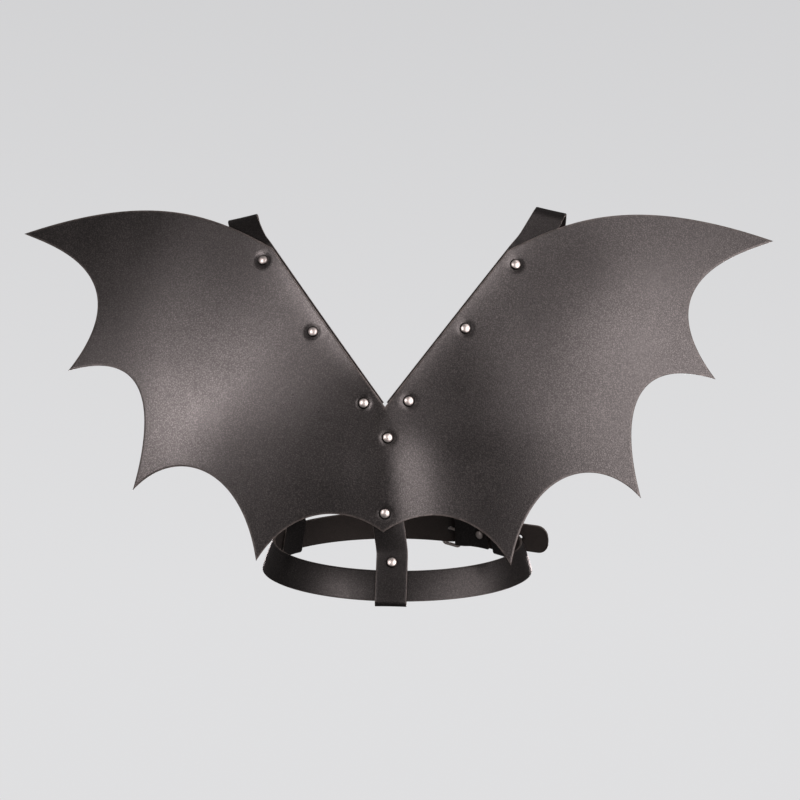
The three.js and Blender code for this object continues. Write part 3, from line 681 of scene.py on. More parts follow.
def run_tree(tree, source, values):
    """Runs a tree on an object with values for its named inputs, and gives the result as a plain mesh."""
    modifier = source.modifiers.new("maker", "NODES")
    modifier.node_group = tree
    for item in tree.interface.items_tree:
        if item.in_out == "INPUT" and item.name in values:
            modifier[item.identifier] = values[item.name]
    graph = bpy.context.evaluated_depsgraph_get()
    mesh = bpy.data.meshes.new_from_object(source.evaluated_get(graph), depsgraph=graph)
    source.modifiers.remove(modifier)
    return mesh


def drop_object(item):
    mesh = item.data
    bpy.data.objects.remove(item)
    bpy.data.meshes.remove(mesh)


def read_attribute(tree, name, kind="FLOAT_VECTOR"):
    node = add_node(tree, "GeometryNodeInputNamedAttribute", {"Name": name}, data_type=kind)
    return node.outputs["Attribute"]


def vector_math(tree, operation, a, b):
    node = add_node(tree, "ShaderNodeVectorMath", {0: a, 1: b}, operation=operation)
    return node.outputs["Value" if operation == "DOT_PRODUCT" else "Vector"]


def scaled(tree, vector, scale):
    node = add_node(tree, "ShaderNodeVectorMath", {0: vector, "Scale": scale}, operation="SCALE")
    return node.outputs["Vector"]


def number_math(tree, operation, a, b=0.0, clamp=False):
    return add_node(tree, "ShaderNodeMath", {0: a, 1: b}, operation=operation, use_clamp=clamp).outputs[0]


def store(tree, geometry, name, kind, value):
    links = {"Geometry": geometry, "Name": name, "Value": value}
    node = add_node(tree, "GeometryNodeStoreNamedAttribute", links, data_type=kind, domain="POINT")
    return node.outputs["Geometry"]


def finish_tree(tree, geometry, material):
    """Ends a tree: instances become real geometry, which then gets its material."""
    real = add_node(tree, "GeometryNodeRealizeInstances", {"Geometry": geometry}).outputs["Geometry"]
    done = add_node(tree, "GeometryNodeSetMaterial", {"Geometry": real, "Material": material})
    add_node(tree, "NodeGroupOutput", {"Geometry": done.outputs["Geometry"]})
    return tree


def strap_tree():
    """Sweeps a strap's section along a path, cups and narrows it, and marks its cut edges and flesh side."""
    tree = node_tree("Strap along a path", [
        ("Section", "NodeSocketObject"),
        ("Width", "NodeSocketFloat"),
        ("Edge Round", "NodeSocketFloat"),
        ("Thickness", "NodeSocketFloat"),
        ("Leather", "NodeSocketMaterial"),
    ])
    given = tree.nodes.new("NodeGroupInput").outputs
    path = add_node(tree, "GeometryNodeMeshToCurve", {"Mesh": given["Geometry"]}).outputs["Curve"]
    out = read_attribute(tree, "out")
    across = read_attribute(tree, "across")
    turned = add_node(tree, "GeometryNodeSetCurveNormal", {"Curve": path, "Normal": out}, mode="FREE")
    position = tree.nodes.new("GeometryNodeInputPosition").outputs["Position"]
    marked = store(tree, turned.outputs["Curve"], "middle", "FLOAT_VECTOR", position)
    section = add_node(tree, "GeometryNodeObjectInfo", {"Object": given["Section"]}).outputs["Geometry"]
    ring = add_node(tree, "GeometryNodeMeshToCurve", {"Mesh": section}).outputs["Curve"]
    swept = add_node(tree, "GeometryNodeCurveToMesh",
                     {"Curve": marked, "Profile Curve": ring, "Fill Caps": True}).outputs["Mesh"]
    offset = vector_math(tree, "SUBTRACT", position, read_attribute(tree, "middle"))
    sideways = vector_math(tree, "DOT_PRODUCT", offset, across)
    outward = vector_math(tree, "DOT_PRODUCT", offset, out)
    half = number_math(tree, "MULTIPLY", given["Width"], 0.5)
    edge_start = number_math(tree, "SUBTRACT", half, given["Edge Round"])
    past = number_math(tree, "SUBTRACT", number_math(tree, "ABSOLUTE", sideways), edge_start)
    rounding = number_math(tree, "DIVIDE", past, given["Edge Round"])
    twice_as_soon = 2.0
    edge = number_math(tree, "MULTIPLY", rounding, twice_as_soon, clamp=True)
    inward = number_math(tree, "DIVIDE", outward, given["Thickness"])
    flesh = number_math(tree, "SUBTRACT", 0.5, inward, clamp=True)
    swept = store(tree, swept, "cut_edge", "FLOAT", edge)
    swept = store(tree, swept, "flesh_side", "FLOAT", flesh)
    narrow = number_math(tree, "SUBTRACT", read_attribute(tree, "narrow", "FLOAT"), 1.0)
    pull = scaled(tree, across, number_math(tree, "MULTIPLY", sideways, narrow))
    square = number_math(tree, "MULTIPLY", number_math(tree, "MULTIPLY", sideways, sideways), -0.5)
    cupped = scaled(tree, out, number_math(tree, "MULTIPLY", square, read_attribute(tree, "cup", "FLOAT")))
    shift = vector_math(tree, "ADD", pull, cupped)
    shaped = add_node(tree, "GeometryNodeSetPosition", {"Geometry": swept, "Offset": shift})
    angle = tree.nodes.new("GeometryNodeInputMeshEdgeAngle").outputs["Unsigned Angle"]
    soft = number_math(tree, "LESS_THAN", angle, SMOOTH_BELOW)
    links = {"Geometry": shaped.outputs["Geometry"], "Shade Smooth": soft}
    smooth = add_node(tree, "GeometryNodeSetShadeSmooth", links, domain="EDGE")
    return finish_tree(tree, smooth.outputs["Geometry"], given["Leather"])


def strap_section():
    """The closed section of a strap: flat faces in a few steps, with rounded corners."""
    half, thick = HALF_WIDTH, STRAP_THICK / 2
    flat = half - EDGE_ROUND
    stops = np.array([-flat, SECTION_MARGIN - flat, *SECTION_STOPS, flat - SECTION_MARGIN, flat])
    ring = [(thick, s) for s in stops]
    for corner_out, first in ((thick - EDGE_ROUND, 0), (EDGE_ROUND - thick, 90)):
        for turn in np.radians(np.linspace(first, first + 90, CORNER_POINTS))[(0 if first else 1):]:
            ring.append((corner_out + EDGE_ROUND * math.cos(turn), flat + EDGE_ROUND * math.sin(turn)))
    ring += [(-thick, s) for s in stops[::-1]][1:]
    for corner_out, first in ((EDGE_ROUND - thick, 180), (thick - EDGE_ROUND, 270)):
        for turn in np.radians(np.linspace(first, first + 90, CORNER_POINTS))[1:]:
            ring.append((corner_out + EDGE_ROUND * math.cos(turn), -flat + EDGE_ROUND * math.sin(turn)))
    ring.pop()
    points = np.array([(a, b, 0) for a, b in ring])
    edges = [(i, (i + 1) % len(points)) for i in range(len(points))]
    return new_object("strap_section", mesh_from("strap_section", points, [], edges))


def strap(name, rows, tree, section, leather):
    points = np.array([row["middle"] for row in rows])
    mesh = mesh_from(name + "_path", points, [], [(i, i + 1) for i in range(len(rows) - 1)])
    heading = unit(np.gradient(points, axis=0))
    across = np.array([row["across"] for row in rows])
    across = unit(across - heading * np.sum(across * heading, -1, keepdims=True))
    out = np.cross(across, heading)
    facing = np.sign(np.sum(out * np.array([row["out"] for row in rows]), -1, keepdims=True))
    set_numbers(mesh, "across", "FLOAT_VECTOR", across)
    set_numbers(mesh, "out", "FLOAT_VECTOR", out * facing)
    set_numbers(mesh, "cup", "FLOAT", [row["cup"] / MM for row in rows])
    set_numbers(mesh, "narrow", "FLOAT", [row["narrow"] for row in rows])
    path = new_object(name + "_path", mesh)
    sizes = {"Section": section, "Width": STRAP_WIDTH * MM, "Edge Round": EDGE_ROUND * MM,
             "Thickness": STRAP_THICK * MM, "Leather": leather}
    made = run_tree(tree, path, sizes)
    for key in ("middle", "across", "out", "cup", "narrow"):
        made.attributes.remove(made.attributes[key])
    drop_object(path)
    made.name = name
    return new_object(name, made)


def bar_mesh(bm, start, end, radius, sides):
    """Adds a round bar between two points to a mesh being built."""
    axis = Vector(end) - Vector(start)
    middle = (Vector(start) + Vector(end)) / 2
    turn = axis.to_track_quat("Z", "Y").to_matrix().to_4x4()
    bmesh.ops.create_cone(bm, cap_ends=True, segments=sides, radius1=radius, radius2=radius,
                          depth=axis.length, matrix=Matrix.Translation(middle) @ turn)


def cut_belt(item):
    """Cuts the prong's hole and the spare holes through the belt."""
    middle, along, _, out, _ = belt_frame(BUCKLE_ANGLE)
    bm = bmesh.new()
    for i in range(1, HOLE_COUNT + 1):
        place = middle - i * HOLE_SPACING * along + LAYER * out
        bar_mesh(bm, place - HOLE_CUT * out, place + HOLE_CUT * out, HOLE_RADIUS, HOLE_SIDES)
    start, end = prong_ends()
    bar_mesh(bm, start, end, PRONG["radius"] + PRONG["clear"], HOLE_SIDES)
    bmesh.ops.scale(bm, vec=(MM, MM, MM), verts=bm.verts)
    mesh = bpy.data.meshes.new("belt_holes")
    bm.to_mesh(mesh)
    bm.free()
    cutter = new_object("belt_holes", mesh)
    modifier = item.modifiers.new("holes", "BOOLEAN")
    modifier.object = cutter
    modifier.operation = "DIFFERENCE"
    graph = bpy.context.evaluated_depsgraph_get()
    item.data = bpy.data.meshes.new_from_object(item.evaluated_get(graph), depsgraph=graph)
    item.modifiers.remove(modifier)
    drop_object(cutter)


# Buckle
def buckle_point(along, out, up):
    return belt_point(BUCKLE_ANGLE + along / belt_frame(BUCKLE_ANGLE)[4], out, up)


def buckle_seat():
    return STRAP_THICK / 2 + LAYER_GAP + BUCKLE["wire"]


def prong_ends():
    seat = buckle_seat()
    start = buckle_point(PRONG["start"], -seat, 0)
    return start, buckle_point(BUCKLE["reach"] + PRONG["past"], seat + BUCKLE["wire"], 0)


def wire_tree():
    """Sweeps a round wire along a path, with its corners rounded off."""
    tree = node_tree("Bent wire", [
        ("Radius", "NodeSocketFloat"),
        ("Corner", "NodeSocketFloat"),
        ("Metal", "NodeSocketMaterial"),
    ])
    given = tree.nodes.new("NodeGroupInput").outputs
    path = add_node(tree, "GeometryNodeMeshToCurve", {"Mesh": given["Geometry"]}).outputs["Curve"]
    corners = {"Curve": path, "Radius": given["Corner"], "Count": WIRE_CORNER_STEPS}
    rounded = add_node(tree, "GeometryNodeFilletCurve", corners, mode="POLY").outputs["Curve"]
    ring = add_node(tree, "GeometryNodeCurvePrimitiveCircle",
                    {"Resolution": WIRE_SIDES, "Radius": given["Radius"]}).outputs["Curve"]
    swept = add_node(tree, "GeometryNodeCurveToMesh",
                     {"Curve": rounded, "Profile Curve": ring, "Fill Caps": True}).outputs["Mesh"]
    return finish_tree(tree, swept, given["Metal"])


def buckle(metal):
    seat = buckle_seat()
    half, reach = BUCKLE["half_height"], BUCKLE["reach"]
    corners = [buckle_point(0, -seat, -half), buckle_point(0, -seat, half),
               buckle_point(reach, seat, half), buckle_point(reach, seat, -half)]
    tree = wire_tree()
    made = []
    for points, edges, radius, corner in (
        (corners, [(0, 1), (1, 2), (2, 3), (3, 0)], BUCKLE["wire"], BUCKLE["corner"]),
        (prong_ends(), [(0, 1)], PRONG["radius"], 0.0),
    ):
        path = new_object("wire_path", mesh_from("wire_path", points, [], edges))
        made.append(run_tree(tree, path, {"Radius": radius * MM, "Corner": corner * MM, "Metal": metal}))
        drop_object(path)
    bm = bmesh.new()
    for mesh in made:
        bm.from_mesh(mesh)
    bmesh.ops.recalc_face_normals(bm, faces=bm.faces)
    whole = bpy.data.meshes.new("belt_buckle_wire")
    bm.to_mesh(whole)
    bm.free()
    whole.materials.append(metal)
    shade_smooth(whole)
    return new_object("belt_buckle_wire", whole)


# Rivets
def turned(name, profile, sides):
    """A round piece turned about Z from a profile of radius and height that starts and ends on the axis."""
    bm = bmesh.new()
    rows = []
    for radius, height in profile:
        if radius == 0:
            rows.append([bm.verts.new((0, 0, height * MM))] * sides)
            continue
        ring = circle((0, 0), radius, sides)
        rows.append([bm.verts.new((x * MM, y * MM, height * MM)) for x, y in ring])
    for upper, lower in zip(rows, rows[1:]):
        for i in range(sides):
            j = (i + 1) % sides
            corners = list(dict.fromkeys([upper[i], upper[j], lower[j], lower[i]]))
            bm.faces.new(corners)
    bmesh.ops.recalc_face_normals(bm, faces=bm.faces)
    mesh = bpy.data.meshes.new(name)
    bm.to_mesh(mesh)
    bm.free()
    shade_smooth(mesh)
    return new_object(name, mesh)


def cap_profile():
    """Radius and height of a cap from the middle of its face, over its shoulder and down its wall."""
    radius, curve, shoulder, wall = (RIVET_CAP[key] for key in ("radius", "face_curve", "shoulder", "wall"))
    turn_at = radius - shoulder
    steep = math.asin(turn_at / (curve - shoulder))
    edge = curve * math.sin(steep)
    top = wall + shoulder * math.cos(steep) + curve * (1 - math.cos(steep))
    rows = [(r, top - curve + math.sqrt(curve ** 2 - r ** 2)) for r in np.linspace(0, edge, CAP_FACE_ROWS)]
    for turn in np.linspace(steep, math.pi / 2, CAP_SHOULDER_ROWS)[1:]:
        rows.append((turn_at + shoulder * math.sin(turn), wall + shoulder * math.cos(turn)))
    return rows + [(radius, 0), (0, 0)]


def shade_cap_shoulder(cap):
    """Marks the shoulder of a cap, where painted shade and painted dark reflection darken it beside the
    leather.
    """
    places = np.array([vertex.co[:2] for vertex in cap.data.vertices])
    share = np.hypot(*places.T) / (RIVET_CAP["radius"] * MM)
    start, whole = CAP_SHADE_SPAN
    set_numbers(cap.data, "rim", "FLOAT", smoothstep((share - start) / (whole - start)))


def rivet_rows():
    """Where each rivet's cap sits, which way it faces and how deep the leather under it is."""
    rows = []
    two_layers = PANEL_THICK + LAYER_GAP + STRAP_THICK + BEND_SLACK
    spots = panel_rivets()
    outward = panel_outward(spots[:, 0], spots[:, 1])
    faces = panel_points(spots, 0)
    dips = rivet_dip(spots[:, 0], spots[:, 1])
    for face, slope, dip in zip(faces, outward, dips):
        rows.append((face, unit(slope), two_layers - dip))
    for angle_deg, height in BELT_LOOPS.values():
        angle = math.radians(angle_deg)
        face = belt_point(angle, LOOP_LAYER + STRAP_THICK / 2, height)
        rows.append((face, belt_frame(angle)[3], LOOP_LAYER + STRAP_THICK + LOOP_SLACK))
    angle = BUCKLE_ANGLE - FOLD_RIVET / belt_frame(BUCKLE_ANGLE)[4]
    rows.append((belt_point(angle, -LAYER - STRAP_THICK / 2, 0), -belt_frame(angle)[3], LAYER + STRAP_THICK))
    return rows


def rivet_tree():
    """Sets a cap, a post and a back cap on every point, along its axis and through its depth."""
    tree = node_tree("Domed rivets", [
        ("Cap", "NodeSocketObject"),
        ("Post", "NodeSocketObject"),
        ("Back", "NodeSocketObject"),
        ("Sink", "NodeSocketFloat"),
        ("Back Seat", "NodeSocketFloat"),
        ("Metal", "NodeSocketMaterial"),
    ])
    given = tree.nodes.new("NodeGroupInput").outputs
    axis = read_attribute(tree, "axis")
    depth = read_attribute(tree, "depth", "FLOAT")
    facing = add_node(tree, "FunctionNodeAlignRotationToVector", {"Vector": axis}, axis="Z")
    points = add_node(tree, "GeometryNodeMeshToPoints", {"Mesh": given["Geometry"]}).outputs["Points"]
    whole = number_math(tree, "ADD", depth, given["Back Seat"])
    tall = add_node(tree, "ShaderNodeCombineXYZ", {"X": 1.0, "Y": 1.0, "Z": whole}).outputs["Vector"]
    settings = [
        ("Cap", number_math(tree, "MULTIPLY", given["Sink"], -1.0), (1.0, 1.0, 1.0)),
        ("Post", number_math(tree, "MULTIPLY", whole, -1.0), tall),
        ("Back", number_math(tree, "MULTIPLY", whole, -1.0), (1.0, 1.0, 1.0)),
    ]
    join = tree.nodes.new("GeometryNodeJoinGeometry")
    for label, along, scale in settings:
        shift = scaled(tree, axis, along)
        moved = add_node(tree, "GeometryNodeSetPosition", {"Geometry": points, "Offset": shift})
        shape = add_node(tree, "GeometryNodeObjectInfo", {"Object": given[label]})
        placed = add_node(tree, "GeometryNodeInstanceOnPoints", {
            "Points": moved.outputs["Geometry"],
            "Instance": shape.outputs["Geometry"],
            "Rotation": facing.outputs["Rotation"],
            "Scale": scale,
        })
        tree.links.new(placed.outputs["Instances"], join.inputs["Geometry"])
    return finish_tree(tree, join.outputs["Geometry"], given["Metal"])


def rivets(metal):
    rows = rivet_rows()
    mesh = mesh_from("rivet_points", [face for face, _, _ in rows], [])
    set_numbers(mesh, "axis", "FLOAT_VECTOR", [axis for _, axis, _ in rows])
    set_numbers(mesh, "depth", "FLOAT", [depth * MM for _, _, depth in rows])
    points = new_object("rivet_points", mesh)
    cap = turned("rivet_cap", cap_profile(), RIVET_SIDES)
    shade_cap_shoulder(cap)
    metre = 1 / MM  # the tree scales the post to its depth
    post_profile = [(0, 0), (RIVET_POST, 0), (RIVET_POST, metre), (0, metre)]
    post = turned("rivet_post", post_profile, RIVET_SIDES // 2)
    back = turned("rivet_back", [(r, h - BACK_THICK) for r, h in RIVET_BACK], RIVET_SIDES)
    values = {"Cap": cap, "Post": post, "Back": back, "Sink": RIVET_SINK * MM, "Back Seat": BACK_SEAT * MM,
              "Metal": metal}
    made = run_tree(rivet_tree(), points, values)
    made.name = "harness_rivets"
    for item in (points, cap, post, back):
        drop_object(item)
    return new_object("harness_rivets", made)


# Materials
def shader_group(name, inputs, outputs):
    tree = bpy.data.node_groups.new(name, "ShaderNodeTree")
    for label, kind, default in inputs:
        socket = tree.interface.new_socket(label, in_out="INPUT", socket_type=kind)
        if default is not None:
            socket.default_value = default
    for label, kind in outputs:
        tree.interface.new_socket(label, in_out="OUTPUT", socket_type=kind)
    return tree


def mapped(tree, value, low, high, from_low=0.0, from_high=1.0, **settings):
    links = {"Value": value, "From Min": from_low, "From Max": from_high, "To Min": low, "To Max": high}
    return add_node(tree, "ShaderNodeMapRange", links, **settings).outputs["Result"]


def noise(tree, vector, scale, detail, roughness=0.5):
    links = {"Vector": vector, "Scale": scale, "Detail": detail, "Roughness": roughness}
    return add_node(tree, "ShaderNodeTexNoise", links).outputs


def grain_group():
    """Leather grain: small pebbles parted by creases, deeper in some places, with fine pores."""
    tree = shader_group("Leather grain", [
        ("Vector", "NodeSocketVector", None),
        ("Pebble Size", "NodeSocketFloat", WING_LOOK["pebble"]),
        ("Crease Width", "NodeSocketFloat", GRAIN["crease_width"]),
    ], [("Height", "NodeSocketFloat"), ("Crease", "NodeSocketFloat"), ("Sheen", "NodeSocketFloat")])
    given = tree.nodes.new("NodeGroupInput").outputs
    place = given["Vector"]
    per_metre = number_math(tree, "DIVIDE", 1 / MM, given["Pebble Size"])
    warp_scale = number_math(tree, "MULTIPLY", per_metre, GRAIN["warp_scale"])
    warp = noise(tree, place, warp_scale, detail=2.0)["Color"]
    mid_grey = (0.5, 0.5, 0.5)
    push = vector_math(tree, "SUBTRACT", warp, mid_grey)
    reach = number_math(tree, "MULTIPLY", given["Pebble Size"], GRAIN["warp_reach"] * MM)
    moved = vector_math(tree, "ADD", place, scaled(tree, push, reach))
    links = {"Vector": moved, "Scale": per_metre}
    cells = add_node(tree, "ShaderNodeTexVoronoi", links, feature="DISTANCE_TO_EDGE").outputs["Distance"]
    crease = mapped(tree, cells, 1.0, 0.0, 0.0, given["Crease Width"], interpolation_type="SMOOTHSTEP")
    patches = noise(tree, place, GRAIN["patch_scale"], detail=3.0)["Fac"]
    deep = mapped(tree, patches, *GRAIN["patch_depth"], *GRAIN["patch_range"])
    cut = number_math(tree, "MULTIPLY", crease, deep)
    pore_scale = number_math(tree, "MULTIPLY", per_metre, GRAIN["pore_scale"])
    pores = noise(tree, place, pore_scale, detail=2.0)["Fac"]
    height = number_math(tree, "SUBTRACT", number_math(tree, "MULTIPLY", pores, GRAIN["pore_height"]), cut)
    speck = mapped(tree, pores, 0.0, 1.0, *GRAIN["pore_range"])
    worn = number_math(tree, "MULTIPLY", cut, GRAIN["crease_dull"])
    sheen = number_math(tree, "SUBTRACT", speck, worn, clamp=True)
    add_node(tree, "NodeGroupOutput", {"Height": height, "Crease": cut, "Sheen": sheen})
    return tree


def handling_group():
    """Signs of handling: soft cloudy patches, and a mask of wear and painted highlight that is strongest on
    marked edges.
    """
    tree = shader_group("Handling marks and edge glint", [
        ("Vector", "NodeSocketVector", None),
        ("Cloud Scale", "NodeSocketFloat", 14.0),
        ("Edge", "NodeSocketFloat", 0.0),
        ("Rub And Glint Scale", "NodeSocketFloat", 160.0),
    ], [("Cloud", "NodeSocketFloat"), ("Rub And Glint", "NodeSocketFloat")])
    given = tree.nodes.new("NodeGroupInput").outputs
    cloud = noise(tree, given["Vector"], given["Cloud Scale"], detail=5.0, roughness=0.55)["Fac"]
    rub_glint_noise = noise(tree, given["Vector"], given["Rub And Glint Scale"], detail=4.0)["Fac"]
    broken = mapped(tree, rub_glint_noise, EDGE_RUB_AND_GLINT["least"], 1.0, *EDGE_RUB_AND_GLINT["range"])
    rub_and_glint = number_math(tree, "MULTIPLY", broken, given["Edge"])
    add_node(tree, "NodeGroupOutput", {"Cloud": cloud, "Rub And Glint": rub_and_glint})
    return tree


def new_material(name):
    material = bpy.data.materials.new(name)
    material.use_nodes = True
    tree = material.node_tree
    shader = tree.nodes["Principled BSDF"]
    place = tree.nodes.new("ShaderNodeTexCoord").outputs["Object"]
    return material, tree, shader, place


def blend_colour(tree, share, a, b):
    node = tree.nodes.new("ShaderNodeMix")
    node.data_type = "RGBA"
    for socket, value in ((node.inputs[0], share), (node.inputs[6], a), (node.inputs[7], b)):
        if isinstance(value, bpy.types.NodeSocket):
            tree.links.new(value, socket)
        else:
            socket.default_value = value
    return node.outputs[2]


def add_bump(tree, shader, height, strength, depth):
    links = {"Height": height, "Strength": strength, "Distance": depth * MM}
    bump = add_node(tree, "ShaderNodeBump", links)
    tree.links.new(bump.outputs["Normal"], shader.inputs["Normal"])


def leather(name, groups, look):
    """Dyed leather: grained face with painted shade in its creases, cut edges lightened partly by burnishing
    and partly by a painted highlight, and a matt flesh side.
    """
    material, tree, shader, place = new_material(name)
    cut_edge = add_node(tree, "ShaderNodeAttribute", attribute_name="cut_edge").outputs["Fac"]
    flesh = add_node(tree, "ShaderNodeAttribute", attribute_name="flesh_side").outputs["Fac"]
    grain = add_node(tree, "ShaderNodeGroup", node_tree=groups["grain"])
    marks = add_node(tree, "ShaderNodeGroup", node_tree=groups["handling"])
    tree.links.new(place, grain.inputs["Vector"])
    tree.links.new(place, marks.inputs["Vector"])
    tree.links.new(cut_edge, marks.inputs["Edge"])
    grain.inputs["Pebble Size"].default_value = look["pebble"]
    cloud = mapped(tree, marks.outputs["Cloud"], 0, 1, *CLOUD_RANGE)
    # The face darkens at random with the pores, and further in the grain's creases where its sheen drops:
    # painted shade there
    pores = mapped(tree, grain.outputs["Sheen"], PORE_SHARE, 0, *PORE_FADE)
    creases = mapped(tree, grain.outputs["Crease"], 0, CREASE_SHADE_SHARE)
    # Painted shade in the grain's creases
    face = blend_colour(tree, cloud, look["dark"], look["light"])
    face = blend_colour(tree, pores, face, PORE_TONE_AND_CREASE_SHADE)
    face = blend_colour(tree, creases, face, PORE_TONE_AND_CREASE_SHADE)
    fibre = noise(tree, place, SUEDE["fibre_scale"], detail=4.0)["Fac"]
    suede = blend_colour(tree, fibre, SUEDE["dark"], SUEDE["light"])
    colour = blend_colour(tree, flesh, face, suede)
    # The cut edges lighten: part wear, part painted highlight
    colour = blend_colour(tree, marks.outputs["Rub And Glint"], colour, look["edge"])
    tree.links.new(colour, shader.inputs["Base Color"])
    rough = mapped(tree, marks.outputs["Cloud"], *look["rough"], *CLOUD_RANGE)
    creased = number_math(tree, "MULTIPLY", grain.outputs["Crease"], CREASE_ROUGH)
    rough = number_math(tree, "ADD", rough, creased)
    matt = number_math(tree, "MULTIPLY", flesh, SUEDE["rough"])
    rough = number_math(tree, "ADD", rough, matt, clamp=True)
    tree.links.new(rough, shader.inputs["Roughness"])
    shader.inputs["Specular IOR Level"].default_value = look["shine"]
    shader.inputs["Coat Roughness"].default_value = look["rough"][1]
    glint = number_math(tree, "MULTIPLY", grain.outputs["Sheen"], mapped(tree, flesh, look["topcoat"], 0))
    tree.links.new(glint, shader.inputs["Coat Weight"])
    add_bump(tree, shader, grain.outputs["Height"], strength=1.0, depth=look["grain_depth"])
    return material


def nickel(groups):
    """Bright plated metal with fine scratches, slightly dulled patches and a painted dark ring of shade and
    reflection on the caps' shoulders.
    """
    material, tree, shader, place = new_material("bright_nickel")
    marks = add_node(tree, "ShaderNodeGroup", node_tree=groups["handling"])
    marks.inputs["Cloud Scale"].default_value = NICKEL["cloud_scale"]
    tree.links.new(place, marks.inputs["Vector"])
    cloud = mapped(tree, marks.outputs["Cloud"], 0, 1, *NICKEL["cloud_range"])
    rim = add_node(tree, "ShaderNodeAttribute", attribute_name="rim").outputs["Fac"]
    colour = blend_colour(tree, cloud, NICKEL["bright"], NICKEL["dull"])
    # Painted shade and reflection: the caps' shoulders darken along the rim mask
    colour = blend_colour(tree, rim, colour, NICKEL["shoulder_shade"])
    rough = mapped(tree, marks.outputs["Cloud"], *NICKEL["rough"], *NICKEL["cloud_range"])
    tree.links.new(colour, shader.inputs["Base Color"])
    tree.links.new(rough, shader.inputs["Roughness"])
    shader.inputs["Metallic"].default_value = 1.0
    scratch = noise(tree, place, NICKEL["scratch_scale"], detail=2.0)["Fac"]
    add_bump(tree, shader, scratch, NICKEL["scratch_strength"], NICKEL["scratch_depth"])
    return material


# Stage
def pale_floor():
    """A round floor that sweeps up into a wall all the way round."""
    radius, bend, floor_z, sides = (FLOOR[key] for key in ("radius", "bend", "z", "sides"))
    profile = [(0, floor_z), (radius - bend, floor_z)]
    for turn in np.radians(np.linspace(0, 90, FLOOR["bend_rows"] + 1)[1:]):
        profile.append((radius - bend + bend * math.sin(turn), floor_z + bend * (1 - math.cos(turn))))
    profile.append((radius, floor_z + FLOOR["wall"]))
    points, faces = [(0, 0, floor_z)], []
    for r, z in profile[1:]:
        points += [(x, y, z) for x, y in circle((0, 0), r, sides)]
    for i in range(sides):
        j = (i + 1) % sides
        faces.append((0, 1 + i, 1 + j))
        for row in range(len(profile) - 2):
            a, b = 1 + row * sides, 1 + (row + 1) * sides
            faces.append((a + i, b + i, b + j, a + j))
    mesh = mesh_from("pale_floor", points, faces)
    shade_smooth(mesh)
    material, tree, shader, place = new_material("floor_paint")
    height = add_node(tree, "ShaderNodeSeparateXYZ", {"Vector": place}).outputs["Z"]
    rise = mapped(tree, height, 0, 1, floor_z * MM, (floor_z + bend) * MM)
    glow = blend_colour(tree, rise, FLOOR_GLOW["low"], FLOOR_GLOW["high"])
    tree.links.new(glow, shader.inputs["Emission Color"])
    shader.inputs["Emission Strength"].default_value = 1.0
    shader.inputs["Base Color"].default_value = (0, 0, 0, 1)
    shader.inputs["Specular IOR Level"].default_value = 0.0
    mesh.materials.append(material)
    floor = new_object("pale_floor", mesh)
    floor.visible_glossy = False
    floor.visible_diffuse = False
    floor.visible_shadow = False


def softbox(name, azimuth, elevation, distance, width, height, watts):
    """A soft light that faces the panel; azimuth 0 is behind the camera and grows to the right."""
    a, e = math.radians(azimuth), math.radians(elevation)
    back = Vector((math.sin(a) * math.cos(e), -math.cos(a) * math.cos(e), math.sin(e)))
    light = bpy.data.lights.new(name, "AREA")
    light.shape = "RECTANGLE"
    light.size = width * MM
    light.size_y = height * MM
    light.energy = watts
    light.color = LIGHT_COLOUR
    item = bpy.data.objects.new(name, light)
    bpy.context.scene.collection.objects.link(item)
    item.location = Vector(CAMERA["aim"]) * MM + back * distance * MM
    item.rotation_euler = (-back).to_track_quat("-Z", "Y").to_euler()


def studio_light():
    for name, sizes in SOFTBOXES.items():
        softbox(name, *sizes)
    world = bpy.data.worlds.new("studio")
    bpy.context.scene.world = world
    world.use_nodes = True
    background = world.node_tree.nodes["Background"]
    background.inputs["Color"].default_value = ROOM_LIGHT["colour"]
    background.inputs["Strength"].default_value = ROOM_LIGHT["strength"]
    bpy.context.scene.view_settings.view_transform = "Standard"


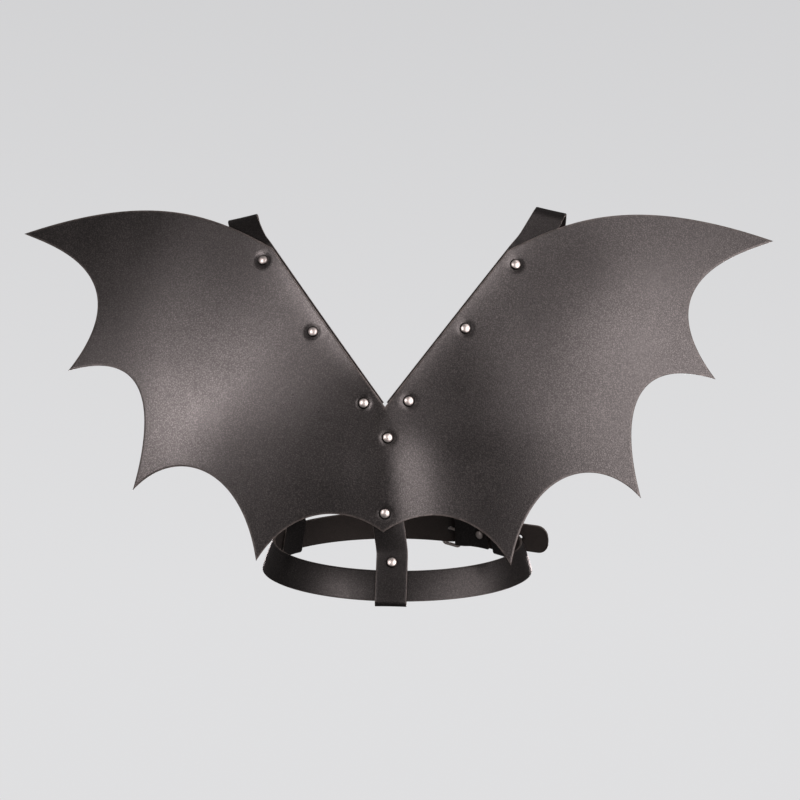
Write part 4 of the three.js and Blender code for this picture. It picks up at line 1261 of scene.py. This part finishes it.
def photo_camera():
    yaw, roll = math.radians(CAMERA["yaw"]), math.radians(CAMERA["roll"])
    right = Vector((math.cos(yaw), math.sin(yaw), 0))
    forward = Vector((-math.sin(yaw), math.cos(yaw), 0))
    up = Vector((0, 0, 1))
    middle = PICTURE / 2
    shift_right = (middle - CAMERA["aim_pixel"][0]) * MM_PER_PIXEL
    shift_up = (CAMERA["aim_pixel"][1] - middle) * MM_PER_PIXEL
    place = Vector(CAMERA["aim"]) + shift_right * right + shift_up * up - CAMERA["distance"] * forward
    side = right * math.cos(roll) + up * math.sin(roll)
    top = up * math.cos(roll) - right * math.sin(roll)
    data = bpy.data.cameras.new("photo_camera")
    data.sensor_width = CAMERA["sensor"]
    data.lens = CAMERA["sensor"] * CAMERA["distance"] / (PICTURE * MM_PER_PIXEL)
    camera = bpy.data.objects.new("photo_camera", data)
    bpy.context.scene.collection.objects.link(camera)
    turn = Matrix((side, top, -forward)).transposed().to_4x4()
    camera.matrix_world = Matrix.Translation(place * MM) @ turn
    bpy.context.scene.camera = camera


def fit(piece, slot, *nodes):
    """The piece rides on the one body and stands for its nodes; the slot argument is not used."""
    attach(piece, "root")
    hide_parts(*nodes)


def main():
    photo_camera()
    groups = dict(grain=grain_group(), handling=handling_group())
    wing_leather = leather("wing_leather", groups, WING_LOOK)
    strap_leather = leather("strap_leather", groups, STRAP_LOOK)
    metal = nickel(groups)
    fit(wing_panel(wing_leather), "wing_leather", "wing_panel")
    tree = strap_tree()
    section = strap_section()
    for word, side in (("left", -1), ("right", 1)):
        piece = strap(f"shoulder_strap_{word}_leather", shoulder_path(side), tree, section, strap_leather)
        fit(piece, "strap_leather", f"shoulder_strap_{word}")
    centre = strap("centre_strap_leather", centre_path(), tree, section, strap_leather)
    fit(centre, "strap_leather", "centre_strap")
    belt = strap("belt_leather", belt_path(), tree, section, strap_leather)
    drop_object(section)
    cut_belt(belt)
    fit(belt, "strap_leather", "belt")
    fit(buckle(metal), "rivet_metal", "belt_buckle")
    rivet_nodes = [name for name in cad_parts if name.startswith("rivet_")]
    fit(rivets(metal), "rivet_metal", *rivet_nodes)
    pale_floor()
    studio_light()


main()
